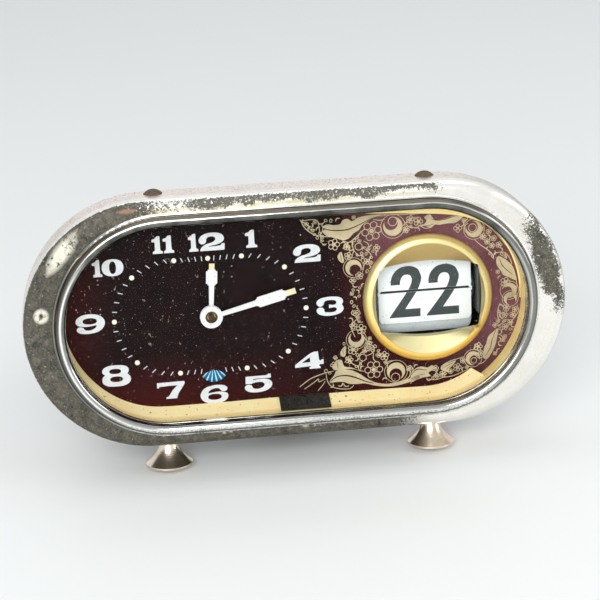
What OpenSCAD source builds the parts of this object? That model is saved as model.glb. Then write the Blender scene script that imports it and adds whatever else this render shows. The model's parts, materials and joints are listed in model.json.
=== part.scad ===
// Desk clock with a leaf calendar, leaning back on two turned feet and a rear leg.
// Every piece is drawn lying on its back: X to the right, Y up the dial, Z towards the viewer.
// place() then stands it up, leans it back and sets the feet on the table.

/* [Case] */
// Width of the chrome case
case_w = 181; // [172:1:200]
// Height of the chrome case
case_h = 84; // [82:1:92]
// Depth of the case band behind the flange
band_d = 14; // [13:0.5:18]
// Sheet thickness of the case
case_t = 0.8; // [0.6:0.1:1.0]
// Radius of the rolled front edge
edge_r = 3; // [2:0.25:4]
// Angle that the clock leans back
lean = 7.5; // [4:0.5:11]

/* [Bezel, glass and inner wall] */
// Width of the flange at both ends of the glass
end_flange = 14; // [13:0.5:16]
// Width of the flange above and below the glass
side_flange = 8.6; // [8:0.1:10]
// Width of the raised chrome ring
ring_w = 4.5; // [3.5:0.25:5]
// Radius of the broad inner bead of the ring
bead_r = 1.7; // [1.2:0.1:1.8]
// Thickness of the front glass
glass_t = 2; // [1.5:0.1:2.2]
// Depth of the dial face behind the edge of the case
dial_d = 7.5; // [7:0.1:8]
// Sheet thickness of the inner wall
wall_t = 0.7; // [0.5:0.1:1]
// Thickness of the paper liner strip
liner_t = 0.3; // [0.2:0.05:0.5]
// How far the liner leans in towards the dial
liner_slant = 3.1; // [2:0.1:3.4]
// Angle at which the liner starts round the left end
liner_from = 195; // [185:1:220]
// Angle at which the liner stops round the right end
liner_to = 300; // [280:1:310]
// Width of the black tape across the liner
tape_w = 17; // [12:1:22]

/* [Dial] */
// Thickness of the dial plate
dial_t = 0.6; // [0.4:0.1:0.8]
// Place of the hands, to the left of the middle of the case
hands_x = -28.4; // [-29:0.1:-27]
// Width of the indicator window
window_w = 8; // [6:0.5:9]
// Height of the indicator window
window_h = 4.3; // [3:0.1:4.6]
// Height of the indicator window below the hands
window_y = -21.4; // [-22:0.1:-20.5]

/* [Calendar window] */
// Distance of the calendar from the middle of the case
calendar_x = 44.8; // [44:0.1:45]
// Height of the calendar window above the middle of the case
calendar_y = 0.5; // [0:0.1:1]
// Height of the leaf split line above the middle of the case
split_y = 1.3; // [0.8:0.1:1.5]
// Crest radius of the calendar ring
cal_crest_r = 19.2; // [18.8:0.1:19.8]
// Width of the ring's outer side
cal_side = 2.9; // [2.6:0.1:3.2]
// Height of the ring's crest above the dial
cal_crest_h = 2.6; // [2:0.1:3.2]
// Width of the calendar opening at its corners
cal_open_w = 33.2; // [33:0.1:33.6]
// Height of the calendar opening at its corners
cal_open_h = 21.8; // [21.4:0.1:22.2]
// Bow of the opening's upper and lower edges
cal_open_bow = 2; // [1.6:0.1:2.2]
// Bow of the opening's left and right edges
cal_side_bow = 1.1; // [0.8:0.1:1.3]

/* [Rear housing] */
// Width of the rear housing
rear_w = 138; // [136:1:144]
// Height of the rear housing
rear_h = 71; // [70:0.5:74]
// Depth of the rear cover
cover_l = 13; // [11:0.5:14]
// Radius of the rear edge
rear_edge_r = 5; // [3:0.5:6]
// Sheet thickness of the rear housing
rear_t = 0.8; // [0.6:0.1:1.0]

/* [Feet and leg] */
// Distance of each foot from the end of the straight bottom
foot_inset = 3.5; // [1:0.5:10]
// Depth of the foot axis behind the edge of the case
foot_d = 9.5; // [9:0.1:9.8]
// Height of a foot below the case
foot_h = 9.5; // [8:0.5:14]
// Radius of the foot's neck
foot_neck_r = 3; // [2.5:0.1:4]
// Radius of the foot's rim
foot_rim_r = 8; // [6:0.5:9]
// Width of the rear leg
leg_w = 22; // [16:1:26]
// Thickness of the rear leg
leg_t = 1.2; // [1:0.1:1.6]
// Place of the leg's heel behind the middle of the case
leg_heel = 42; // [40:0.5:44]
// Length of the leg's flat foot
leg_pad = 8; // [5:0.5:9]

/* [Hands] */
// Length of the minute hand
minute_l = 29.5; // [26:0.5:30]
// Length of the hour hand
hour_l = 18; // [16:0.5:20]
// Radius of the hub ring of the hands
hub_r = 3.75; // [3.2:0.05:4]
// Thickness of a hand
hand_t = 0.35; // [0.25:0.05:0.5]
// Angle of the minute hand past twelve
minute_at = 76; // [0:1:359]
// Angle of the hour hand past twelve
hour_at = 3.6; // [0:0.1:359]

/* [Movement] */
// Radius of the movement plates
plate_r = 32.5; // [32:0.1:33]
// Thickness of the movement plates
plate_t = 1.2; // [1:0.1:1.4]
// Gap between the dial and the front plate
dial_gap = 4.3; // [4.3:0.1:4.7]
// Gap between the plates
plate_gap = 13.4; // [13.4:0.1:13.8]
// Radius of the centre arbor
arbor_r = 1; // [0.9:0.05:1.1]
// Radius of the small pivots
pivot_r = 0.5; // [0.4:0.05:0.6]
// Length of the posts between the movement and the rear cover
post_l = 8; // [7.2:0.2:10]
// Radial clearance of a turning fit
fit = 0.05; // [0.03:0.01:0.08]
// Radius of the mainspring barrel
barrel_r = 12.6; // [12:0.1:12.7]
// Radius of the balance wheel
balance_r = 8; // [7:0.1:8.4]

/* [Calendar movement] */
// Number of leaves, one for each date
leaves = 31; // [31:1:31]
// Width of a leaf
leaf_w = 31.9; // [31:0.1:32.2]
// Length of a leaf from its hinge
leaf_l = 11.1; // [10:0.1:11.1]
// Thickness of a leaf
leaf_t = 0.18; // [0.1:0.01:0.2]
// Radius of a leaf's outer corners
leaf_corner = 1.8; // [1.8:0.1:3]
// Depth of the leaves behind the dial
leaf_back = 6.1; // [6.1:0.1:6.5]
// Radius of the circle that the leaves hang on
hinge_r = 4.5; // [4.4:0.05:4.6]
// Radius of the knobs on the back
knob_r = 6; // [5:0.5:7]
// Height of the knobs on the back
knob_h = 7; // [5:0.5:9]

/* [Hidden] */
$fn = 64;
eps = 0.01;

// case outline
case_r = case_h / 2;
case_s = case_w / 2 - case_r;
opening_w = case_w - 2 * end_flange;
opening_h = case_h - 2 * side_flange;
foot_x = case_s - foot_inset;
flange_z = edge_r / 2;

// glass opening and raised ring
open_r = opening_h / 2;
open_s = opening_w / 2 - open_r;
ring_r = open_r + ring_w;
lip_r = open_r + 1.6;
bead_at = open_r + bead_r + 0.1;
bead_z = flange_z + 2;
thin_bead_r = 0.7;
glass_r = open_r + 3.4;
glass_d = case_t - flange_z;
dial_r = open_r + 4.6;
wall_front = glass_d + glass_t;
wall_r = open_r + 0.4;
wall_gap = 0.02;
tape_t = 0.2;

// standing: feet and leg on the table
foot_stud_r = 1.75;
centre_z = (case_r + foot_h) * cos(lean) + (foot_d + foot_rim_r) * sin(lean);

// depths, front to back
dial_back = dial_d + dial_t;
plate_d = dial_back + dial_gap;
train_d = plate_d + plate_t;
back_d = train_d + plate_gap;
back_end = back_d + plate_t;
cover_in = back_end + post_l;
rear_d = cover_in + rear_t;
cover_front = rear_d - cover_l;
leaf_d = dial_back + leaf_back;

// rear housing
rear_r = rear_h / 2;
rear_s = rear_w / 2 - rear_r;
skirt_gap = 0.1;
skirt_r = case_r - case_t - skirt_gap;
step_d = band_d;
cover_r = rear_r + rear_t + skirt_gap;
screw_r = 1.5;
screw_head_r = 3.2;
screw_head_h = 1.5;

// movement layout, seen from the front, measured from the hands
m_barrel = 0.48;
m_centre = 0.4;
m_third = 0.4;
m_fourth = 0.35;
m_motion = 0.5;
barrel_teeth = 60;
centre_teeth = 64;
third_teeth = 60;
fourth_teeth = 64;
pinion_teeth = 8;
centre_pinion_teeth = 10;
escape_teeth = 15;
barrel_at = polar((barrel_teeth + centre_pinion_teeth) / 2 * m_barrel, 110);
fourth_at = [0, -17.8];
third_from_centre = (centre_teeth + pinion_teeth) / 2 * m_centre;
third_from_fourth = (third_teeth + pinion_teeth) / 2 * m_third;
third_y = -(pow(third_from_centre, 2) - pow(third_from_fourth, 2) + pow(fourth_at[1], 2))
    / (2 * abs(fourth_at[1]));
third_at = [-sqrt(pow(third_from_centre, 2) - pow(third_y, 2)), third_y];
escape_at = fourth_at + polar((fourth_teeth + pinion_teeth) / 2 * m_fourth, 25);
escape_r = 6.2;
balance_at = [20.5, 9];
pallet_from_escape = 8.3;
lever_dir = bearing(escape_at, balance_at);
pallet_at = escape_at + polar(pallet_from_escape, lever_dir);
roller_pin_at = 2.2;
fork_l = norm(balance_at - pallet_at) - roller_pin_at;
pillar_at = [for (a = [60, 165, 235, 320]) polar(plate_r - 3, a)];
pillar_r = 2;
post_angles = [60, 165, 235];

// depths of the train
centre_wheel_d = train_d + 0.8;
barrel_d = train_d + 2.2;
barrel_h = 7.2;
great_wheel_t = 1.2;
wheel_t = 0.8;
fourth_wheel_d = train_d + 3.4;
third_wheel_d = train_d + 6.6;
escape_wheel_d = train_d + 8.4;
balance_d = train_d + 3;
balance_t = 2;
roller_d = train_d + 7.3;
roller_t = 0.6;
hairspring_d = train_d + 11;
hairspring_t = 0.4;
ratchet_d = back_end + 0.6;
ratchet_t = 1;
ratchet_r = 7;
ratchet_tooth = 0.9;
ratchet_teeth = 24;
click_tip = barrel_at + polar(ratchet_r - ratchet_tooth + 0.35, 163.5);
click_pivot = barrel_at + (ratchet_r + 5.5) * [-0.816, 0.576];
stud_r = 1;

// motion work in front of the front plate
cannon_teeth = 12;
minute_teeth = 36;
minute_pinion_teeth = 10;
hour_teeth = 40;
minute_wheel_at = [0, (cannon_teeth + minute_teeth) / 2 * m_motion];
m_hour = minute_wheel_at[1] * 2 / (minute_pinion_teeth + hour_teeth);
hour_pinion_teeth = 20;
calendar_teeth = 40;
calendar_wheel_at = [(hour_pinion_teeth + calendar_teeth) / 2 * m_motion, 0];
motion_t = 0.7;
motion_gap = 0.3;
minute_wheel_d = plate_d - 0.6 - motion_t;
hour_wheel_d = minute_wheel_d - motion_gap - motion_t;
calendar_wheel_d = hour_wheel_d - motion_gap - motion_t;
pipe_r = arbor_r + fit + 0.75;
disc_r = 8;
disc_d = dial_back + 0.5;
disc_t = 0.2;

// hands
minute_hand_d = 4.3;
hour_hand_d = 5.5;

// calendar
cal_ring_r = cal_crest_r + cal_side;
cal_hole_r = cal_ring_r - 1.6;
drum_d = leaf_d + 0.2 + hinge_r;
drum_y = split_y;
leaf_off = 0.3;
leaf_x = calendar_x + leaf_off - leaf_w / 2;
disc_gap = 0.3;
drum_disc_t = 0.6;
drum_disc_r = hinge_r + 0.9;
bracket_t = 0.8;
bracket_l = leaf_x - disc_gap - drum_disc_t - 0.4 - bracket_t;
bracket_r = leaf_x + leaf_w + disc_gap + drum_disc_t + 0.4;
axle_r = 1.2;
date_ratchet_x = bracket_l - 2;
date_ratchet_t = 0.8;
date_ratchet_r = 7;
bevel_teeth = 16;
bevel_r = 6;
bevel_t = 3;
bevel_x = date_ratchet_x - 0.4 - bevel_t;
knob_shaft_x = bevel_x + bevel_t / 2 - bevel_r;
crown_d = drum_d + bevel_r;
knob_shaft_r = 1.5;
knob_d = rear_d + 1.8;
lever_pivot = [14, -10];
leaf_gap = 0.4;
leaf_pin_r = 0.3;
leaf_axis_d = leaf_d - leaf_t / 2 - 0.05;

// whole object, front to back on the table
key_wing_w = 20;
key_wing_t = 2;
key_l = 12;
key_gap = 1;
key_square = 2.4;
key_end = rear_d + key_gap + key_l;
key_y = barrel_at[1];
y_front = -bead_at * sin(lean) - bead_z * cos(lean) - bead_r;
y_back = (key_y + key_wing_t / 2) * sin(lean) + key_end * cos(lean);
y_mid = (y_front + y_back) / 2;

function polar(r, a) = [r * cos(a), r * sin(a)];
function bearing(a, b) = atan2(b[1] - a[1], b[0] - a[0]);

// point on the table, y behind the case's middle and z up, as a point of the lying frame
function on_table(y, z) = [
    y * sin(lean) + (z - centre_z) * cos(lean),
    -(y * cos(lean) - (z - centre_z) * sin(lean))
];

module place() {
    translate([0, -y_mid, centre_z]) rotate([90 - lean, 0, 0]) children();
}

// slab of a flat outline between two depths
module slab(front, back) {
    translate([0, 0, -back]) linear_extrude(back - front) children();
}

module stadium(r, s) {
    translate([-s, -r]) square([2 * s, 2 * r]);
    for (side = [-1, 1]) translate([side * s, 0]) circle(r, $fn = 128);
}

module stadium_ring(r_out, s_out, r_in, s_in) {
    difference() {
        stadium(r_out, s_out);
        stadium(r_in, s_in);
    }
}

// a section of X = radius and Y = height, carried round a stadium of half length s
module stadium_sweep(s) {
    for (side = [0, 1]) {
        mirror([side, 0, 0]) translate([s, 0, 0]) rotate([0, 0, -90])
            rotate_extrude(angle = 180, $fn = 128) children();
        mirror([0, side, 0]) translate([-s, 0, 0]) rotate([90, 0, 90])
            linear_extrude(2 * s) children();
    }
}

// section of a sheet shell with a rolled edge: wall outside, start of the face inside
module rolled_section(r, edge, t, face_z, wall_l) {
    far = 2 * edge + 1;
    difference() {
        union() {
            translate([r - edge - 1, face_z - edge]) square([1 + eps, edge]);
            translate([r - edge, face_z - edge]) circle(edge);
            translate([r - edge, face_z - wall_l]) square([edge, wall_l - edge]);
        }
        translate([r - far, face_z - wall_l - 1]) square([far - t, wall_l + 1 - edge]);
        translate([r - edge, face_z - edge]) circle(edge - t);
        translate([r - far, face_z - 3 * edge]) square([far - edge + eps, 3 * edge - t]);
    }
}

module gear2d(teeth, m, add = 0.9, ded = 1.1, root_w = 0.25, tip_w = 0.09) {
    pitch_r = teeth * m / 2;
    step = 360 / teeth;
    polygon([
        for (i = [0 : teeth - 1])
            for (p = [[-root_w, -ded], [-tip_w, add], [tip_w, add], [root_w, -ded]])
                polar(pitch_r + p[1] * m, (i + p[0]) * step)
    ]);
}

module ratchet2d(teeth, r_out, r_in, hand = 1) {
    step = 360 / teeth;
    polygon([
        for (i = [0 : teeth - 1])
            for (p = [[0, r_in], [0.12, r_out]])
                polar(p[1], hand * (i + p[0]) * step)
    ]);
}

// wheel with a rim, spokes and a hub
module wheel2d(teeth, m, hub, bore, spokes = 4) {
    root = teeth * m / 2 - 1.1 * m;
    difference() {
        gear2d(teeth, m);
        circle(bore, $fn = 32);
        difference() {
            circle(root - 1.2);
            circle(hub);
            for (i = [0 : spokes - 1]) rotate(i * 360 / spokes + 45) translate([0, -0.8]) square([root, 1.6]);
        }
    }
}

module at(p) {
    translate([hands_x + p[0], p[1], 0]) children();
}

// ---- case ----

module front_case() {
    color("silver") place() {
        difference() {
            union() {
                stadium_sweep(case_s) rolled_section(case_r, edge_r, case_t, flange_z, band_d + flange_z);
                slab(-flange_z, case_t - flange_z)
                    stadium_ring(case_r - edge_r, case_s, lip_r, open_s);
            }
            for (side = [-1, 1]) {
                translate([side * foot_x, 0, -foot_d]) rotate([90, 0, 0])
                    cylinder(r = foot_stud_r, h = case_h);
                translate([side * foot_x, 0, -foot_d]) rotate([-90, 0, 0])
                    cylinder(r = screw_r, h = case_h);
            }
        }
    }
}

module bezel_section() {
    translate([open_r, flange_z]) square([ring_w, 0.6]);
    translate([open_r, glass_d * -1]) square([lip_r - open_r, flange_z + glass_d + eps]);
    translate([bead_at, bead_z]) circle(bead_r);
    translate([bead_at - bead_r, flange_z + 0.5]) square([2 * bead_r, bead_z - flange_z - 0.5]);
    intersection() {
        translate([ring_r - thin_bead_r, flange_z + 0.5]) circle(thin_bead_r);
        translate([open_r, flange_z + 0.5]) square([ring_w, 2 * bead_r]);
    }
}

module bezel_ring() {
    color("gainsboro") place() stadium_sweep(open_s) bezel_section();
}

module front_glass() {
    color("lightcyan", 0.25) place() slab(glass_d, wall_front) stadium(glass_r, open_s);
}

module inner_wall() {
    color("goldenrod") place() {
        slab(wall_front, wall_front + wall_t) stadium_ring(glass_r, open_s, wall_r, open_s);
        slab(wall_front + wall_t, dial_d - wall_t)
            stadium_ring(wall_r + wall_t, open_s, wall_r, open_s);
        slab(dial_d - wall_t, dial_d) stadium_ring(glass_r, open_s, wall_r, open_s);
    }
}

// slanted strip of the liner between the glass and the dial, as X = radius and Y = height
module liner_section(lift, t) {
    translate([0, -dial_d]) polygon([
        [wall_r - liner_slant - lift - t, 0],
        [wall_r - liner_slant - lift, 0],
        [wall_r - lift, dial_d - wall_front],
        [wall_r - lift - t, dial_d - wall_front]
    ]);
}

// the strip lies on the lower wall, from the left end round to the lower right
module liner_strip() {
    far = 2 * case_w;
    color("moccasin") place() intersection() {
        stadium_sweep(open_s) liner_section(wall_gap, liner_t);
        slab(0, dial_d + 1) polygon([
            [-open_s, 0],
            [-open_s, 0] + polar(far, liner_from),
            [-open_s, 0] + polar(far, 240),
            [open_s, 0] + polar(far, liner_to),
            [open_s, 0]
        ]);
    }
}

module liner_tape() {
    color("black") place() mirror([0, 1, 0]) translate([1.5 - tape_w / 2, 0, 0]) rotate([90, 0, 90])
        linear_extrude(tape_w) liner_section(wall_gap + liner_t, tape_t);
}

function arc_r(half, bow) = (pow(half, 2) + pow(bow, 2)) / (2 * bow);

// opening with four bowed edges
module barrel_opening() {
    bow_r = arc_r(cal_open_w / 2, cal_open_bow);
    side_r = arc_r(cal_open_h / 2, cal_side_bow);
    rise = bow_r - cal_open_h / 2 - cal_open_bow;
    out = side_r - cal_open_w / 2 - cal_side_bow;
    intersection() {
        translate([0, -rise]) circle(bow_r, $fn = 256);
        translate([0, rise]) circle(bow_r, $fn = 256);
        translate([-out, 0]) circle(side_r, $fn = 256);
        translate([out, 0]) circle(side_r, $fn = 256);
    }
}

module indicator_window() {
    bow = (pow(window_w / 2, 2) + pow(window_h / 2, 2)) / window_h;
    intersection_for (side = [-1, 1]) translate([0, side * (bow - window_h / 2)]) circle(bow);
}

module dial_plate() {
    color("#3a1c1e") place() slab(dial_d, dial_back) difference() {
        stadium(dial_r, open_s);
        translate([hands_x, 0]) circle(pipe_r + 0.5);
        translate([hands_x, window_y]) indicator_window();
        translate([calendar_x, calendar_y]) circle(cal_hole_r, $fn = 128);
    }
}

// ring standing on the dial, with four slopes that fall from the crest to the opening
module calendar_ring() {
    lip_d = dial_d - 0.3;
    crest_d = dial_d - cal_crest_h;
    color("gold") place() translate([calendar_x, calendar_y, 0]) {
        difference() {
            union() {
                translate([0, 0, -dial_d]) rotate_extrude($fn = 128) polygon([
                    [cal_crest_r - 0.5, 0],
                    [cal_ring_r, 0],
                    for (a = [0 : 15 : 90])
                        [cal_crest_r + (cal_ring_r - cal_crest_r) * cos(a), cal_crest_h * sin(a)],
                    [cal_crest_r - 0.5, cal_crest_h]
                ]);
                intersection() {
                    translate([0, 0, -dial_d]) cylinder(r = cal_crest_r - 0.4, h = cal_crest_h, $fn = 128);
                    union() {
                        for (turn = [0, 180]) rotate([0, 0, turn])
                            slope(cal_open_h / 2 - 0.5, cal_crest_r, lip_d, crest_d, 2 * cal_crest_r);
                        for (turn = [90, 270]) rotate([0, 0, turn])
                            slope(cal_open_w / 2 - 0.2, cal_crest_r, lip_d, crest_d, 2 * cal_crest_r);
                    }
                }
            }
            translate([0, 0, -dial_d - 1]) linear_extrude(cal_crest_h + 3) barrel_opening();
        }
    }
}

// sloping plate from depth front at y0 to depth back at y1, l wide
module slope(y0, y1, front, back, l) {
    translate([-l / 2, 0, 0]) rotate([90, 0, 90]) linear_extrude(l) polygon([
        [y0, -front],
        [y1, -back],
        [y1, -back - 0.9],
        [y0, -front - 0.3]
    ]);
}

module rear_housing() {
    color("#3c3f3c") place() {
        difference() {
            union() {
                slab(3, step_d) stadium_ring(skirt_r, case_s, skirt_r - rear_t, case_s);
                slab(step_d - rear_t, step_d)
                    stadium_ring(skirt_r, case_s, rear_r - rear_t, rear_s);
                slab(step_d - rear_t, cover_front + 6)
                    stadium_ring(rear_r, rear_s, rear_r - rear_t, rear_s);
                for (side = [-1, 1]) translate([side * foot_x, skirt_r - rear_t + eps, -foot_d])
                    rotate([90, 0, 0]) cylinder(r = 3.4, h = 2);
            }
            for (side = [-1, 1]) {
                translate([side * foot_x, 0, -foot_d]) rotate([90, 0, 0])
                    cylinder(r = foot_stud_r, h = case_h);
                translate([side * foot_x, 0, -foot_d]) rotate([-90, 0, 0])
                    cylinder(r = screw_r, h = case_h);
            }
        }
    }
}

// places of the screws that pass through the rear cover, seen from the front
function post_places() = [for (a = post_angles) polar(plate_r - 3, a) + [hands_x, 0]];
function web_places() = [for (x = [bracket_l + 9, bracket_r - 9]) [x, drum_y + 4]];
function leg_places() = [for (side = [-1, 1]) [side * (leg_w / 2 - 5), -rear_r + rear_edge_r + 7]];

module rear_cover() {
    color("#3c3f3c") place() difference() {
        union() {
            mirror([0, 0, 1]) stadium_sweep(rear_s)
                rolled_section(cover_r, rear_edge_r, rear_t, rear_d, rear_d - cover_front);
            slab(cover_in, rear_d) stadium(cover_r - rear_edge_r, rear_s);
        }
        at([0, 0]) translate([0, 0, -rear_d - 1]) cylinder(r = 2.6, h = 3);
        at(barrel_at) translate([0, 0, -rear_d - 1]) cylinder(r = 3.2, h = 3);
        translate([knob_shaft_x, drum_y, -rear_d - 1]) cylinder(r = knob_shaft_r + fit, h = 3);
        at(balance_at) translate([0, 0, -rear_d - 1]) linear_extrude(3) regulator_slot();
        for (p = concat(post_places(), web_places(), leg_places()))
            translate([p[0], p[1], -rear_d - 1]) cylinder(r = 1, h = 3);
    }
}

// arc-shaped slot that the regulator's tip moves in
module regulator_slot() {
    slot_a = 24;
    difference() {
        intersection() {
            circle(13.4);
            polygon([[0, 0], polar(40, 90 - slot_a), polar(40, 90 + slot_a)]);
        }
        circle(10.6);
    }
}

module foot() {
    n = 14;
    rim_h = 1.1;
    stud_l = 3.8;
    flare_h = foot_h - rim_h;
    rotate([90, 0, 0]) rotate_extrude($fn = 96) polygon(concat(
        [[0, -stud_l], [foot_stud_r, -stud_l], [foot_stud_r, 0]],
        [for (i = [0 : n]) [
            foot_neck_r + (foot_rim_r - 0.5 - foot_neck_r) * pow(i / n, 2.3),
            flare_h * i / n
        ]],
        [[foot_rim_r, flare_h + 0.4], [foot_rim_r, foot_h], [foot_rim_r - 2, foot_h], [0, foot_h - 1.2]]
    ));
}

module left_foot() {
    color("tan") place() translate([-foot_x, -case_r, -foot_d]) foot();
}

module right_foot() {
    color("tan") place() translate([foot_x, -case_r, -foot_d]) foot();
}

module foot_nuts() {
    nut_h = 2;
    color("gray") place() for (side = [-1, 1])
        translate([side * foot_x, -skirt_r + rear_t, -foot_d]) rotate([-90, 0, 0]) difference() {
            cylinder(r = 3.2, h = nut_h, $fn = 6);
            translate([0, 0, -1]) cylinder(r = foot_stud_r, h = nut_h + 2);
        }
}

// domed screw pointing down, its head standing on the plane of Z = 0
module domed_screw(head_r, head_h, shank_r, shank_l) {
    dome_r = (pow(head_r, 2) + pow(head_h, 2)) / (2 * head_h);
    difference() {
        union() {
            intersection() {
                translate([0, 0, head_h - dome_r]) sphere(dome_r, $fn = 96);
                cylinder(r = head_r, h = head_h);
            }
            translate([0, 0, -shank_l]) cylinder(r = shank_r, h = shank_l + eps);
        }
        translate([-head_r, -0.4, head_h - 0.6]) cube([2 * head_r, 0.8, 1]);
    }
}

module top_screws() {
    color("saddlebrown") place() for (side = [-1, 1])
        translate([side * foot_x, case_r, -foot_d]) rotate([-90, 0, 0])
            domed_screw(screw_head_r, screw_head_h, screw_r, 3.6);
}

module back_screws(places, length) {
    for (p = places) translate([p[0], p[1], -rear_d]) rotate([180, 0, 0])
        domed_screw(2.2, 1.1, 1, length);
}

module cover_screws() {
    color("gray") place() back_screws(concat(post_places(), web_places()), rear_t + 1.5);
}

module leg_screws() {
    color("gray") place() translate([0, 0, -leg_t]) back_screws(leg_places(), rear_t + leg_t);
}

// strip of even thickness along points of the plane X = height, Y = place front to back
module strip2d(points, t) {
    for (i = [0 : len(points) - 2]) {
        a = points[i];
        b = points[i + 1];
        translate(a) rotate(bearing(a, b)) translate([0, -t / 2]) square([norm(b - a), t]);
        if (i > 0) translate(a) circle(t / 2, $fn = 24);
    }
}

module rear_leg() {
    back_z = -rear_d - leg_t / 2;
    heel = on_table(leg_heel, leg_t / 2);
    toe = on_table(leg_heel + leg_pad, leg_t / 2);
    top_y = leg_places()[0][1] + 5;
    bend_y = -rear_r + rear_edge_r + 2;
    color("#1d1f1e") place() difference() {
        translate([-leg_w / 2, 0, 0]) rotate([90, 0, 90]) linear_extrude(leg_w)
            strip2d([[top_y, back_z], [bend_y, back_z], heel, toe], leg_t);
        for (p = leg_places()) translate([p[0], p[1], -rear_d - 5]) cylinder(r = 1, h = 8);
    }
}

module dial_feet() {
    color("darkgoldenrod") place() for (a = [30, 150, 270]) at(polar(plate_r - 2.5, a))
        slab(dial_back, plate_d) circle(1.5);
}

module movement_posts() {
    color("darkgoldenrod") place() for (a = post_angles) at(polar(plate_r - 3, a)) difference() {
        slab(back_end, cover_in) circle(2.4);
        slab(cover_in - 3, cover_in + 1) circle(1);
    }
}

// ---- movement plates ----

module pivot_holes(r) {
    for (p = [third_at, fourth_at, escape_at, pallet_at]) translate(p) circle(r, $fn = 24);
}

module front_plate() {
    color("khaki") place() at([0, 0]) slab(plate_d, train_d) difference() {
        circle(plate_r, $fn = 128);
        circle(arbor_r + fit);
        pivot_holes(pivot_r + fit);
        translate(balance_at) circle(pivot_r + fit, $fn = 24);
        translate(barrel_at) circle(2 + fit);
    }
}

module back_plate() {
    color("khaki") place() at([0, 0]) difference() {
        union() {
            slab(back_d, back_end) circle(plate_r, $fn = 128);
            translate(balance_at) slab(back_end, back_end + 1.4) circle(3);
        }
        slab(back_d - 1, back_end + 2) circle(arbor_r + fit);
        slab(back_d - 1, back_end + 2) pivot_holes(pivot_r + fit);
        slab(back_d - 1, back_end + 2) translate(balance_at) circle(pivot_r + fit, $fn = 24);
        slab(back_d - 1, back_end + 2) translate(barrel_at) circle(2 + fit);
    }
}

module plate_pillars() {
    color("darkgoldenrod") place() at([0, 0]) for (p = pillar_at) translate(p)
        slab(train_d, back_d) circle(pillar_r);
}

// ---- mainspring and winding ----

module barrel() {
    lid = 0.6;
    rim = 0.8;
    turn = bearing(barrel_at, [0, 0]);
    color("gold") place() at(barrel_at) difference() {
        union() {
            slab(barrel_d, barrel_d + barrel_h) circle(barrel_r, $fn = 96);
            slab(barrel_d + barrel_h, barrel_d + barrel_h + great_wheel_t)
                rotate(turn) gear2d(barrel_teeth, m_barrel);
        }
        slab(barrel_d + lid, barrel_d + barrel_h) circle(barrel_r - rim, $fn = 96);
        slab(barrel_d - 1, barrel_d + barrel_h + great_wheel_t + 1) circle(2 + fit);
    }
}

// flat spring wound as a spiral, as the outline of one ribbon
module spiral2d(r0, r1, turns, t) {
    n = ceil(turns * 24);
    inner = [for (i = [0 : n]) polar(r0 + (r1 - r0) * i / n, i * 15)];
    outer = [for (i = [n : -1 : 0]) polar(r0 + t + (r1 - r0) * i / n, i * 15)];
    polygon(concat(inner, outer));
}

module mainspring() {
    spring_t = 0.4;
    hub = 3.2;
    color("slategray") place() at(barrel_at)
        slab(barrel_d + 1, barrel_d + barrel_h - 0.4)
            spiral2d(hub + 0.8, barrel_r - 0.8 - spring_t, 7, spring_t);
}

module barrel_arbor() {
    color("gray") place() at(barrel_at) {
        slab(plate_d, key_end - key_l) circle(2);
        slab(barrel_d + 0.8, barrel_d + barrel_h - 0.2) circle(3.2);
        slab(key_end - key_l, key_end - key_l / 2) square(key_square, center = true);
    }
}

module ratchet_wheel() {
    color("silver") place() at(barrel_at) slab(ratchet_d, ratchet_d + ratchet_t) difference() {
        ratchet2d(ratchet_teeth, ratchet_r, ratchet_r - ratchet_tooth);
        circle(2);
    }
}

module winding_key() {
    wing_r = key_wing_w / 4;
    color("gold") place() at(barrel_at) difference() {
        union() {
            slab(key_end - key_l, key_end - wing_r) circle(3);
            for (side = [-1, 1]) translate([side * wing_r, key_wing_t / 2, -key_end + wing_r])
                rotate([90, 0, 0]) difference() {
                    cylinder(r = wing_r, h = key_wing_t);
                    translate([side * 0.8, 0, -1]) cylinder(r = wing_r - 2.6, h = key_wing_t + 2);
                }
        }
        slab(key_end - key_l - 1, key_end - key_l / 2) square(key_square, center = true);
    }
}

// click that stands behind a tooth of the ratchet wheel and leans on its pivot
module click() {
    l = norm(click_tip - click_pivot);
    color("silver") place() at([0, 0]) slab(ratchet_d, ratchet_d + ratchet_t) difference() {
        union() {
            translate(click_pivot) circle(2, $fn = 32);
            translate(click_pivot) rotate(bearing(click_pivot, click_tip))
                polygon([[0, -1.8], [l, 0], [0, 1.8]]);
        }
        translate(click_pivot) circle(stud_r + fit, $fn = 32);
    }
}

// flat spring at the outer side of the click, as far out as the click's lift pushes it
module click_spring() {
    spring_t = 0.3;
    foot_at = barrel_at + (ratchet_r + 7.9) * [-0.972, -0.235];
    u = bearing(click_pivot, click_tip);
    end = (click_pivot + click_tip) / 2 + polar(1.8, u - 90);
    color("slategray") place() at([0, 0]) {
        translate(foot_at) slab(back_end, ratchet_d + ratchet_t + 0.4) circle(1.2, $fn = 32);
        slab(ratchet_d + 0.2, ratchet_d + ratchet_t - 0.2) translate(foot_at)
            rotate(bearing(foot_at, end)) translate([0, -spring_t / 2])
                square([norm(end - foot_at), spring_t]);
    }
}

// ---- going train ----

module arbor(front, back, r = 0.7) {
    slab(front + 0.2, back - 0.2) circle(r, $fn = 32);
    slab(plate_d + 0.1, back_end - 0.1) circle(pivot_r, $fn = 32);
}

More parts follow.
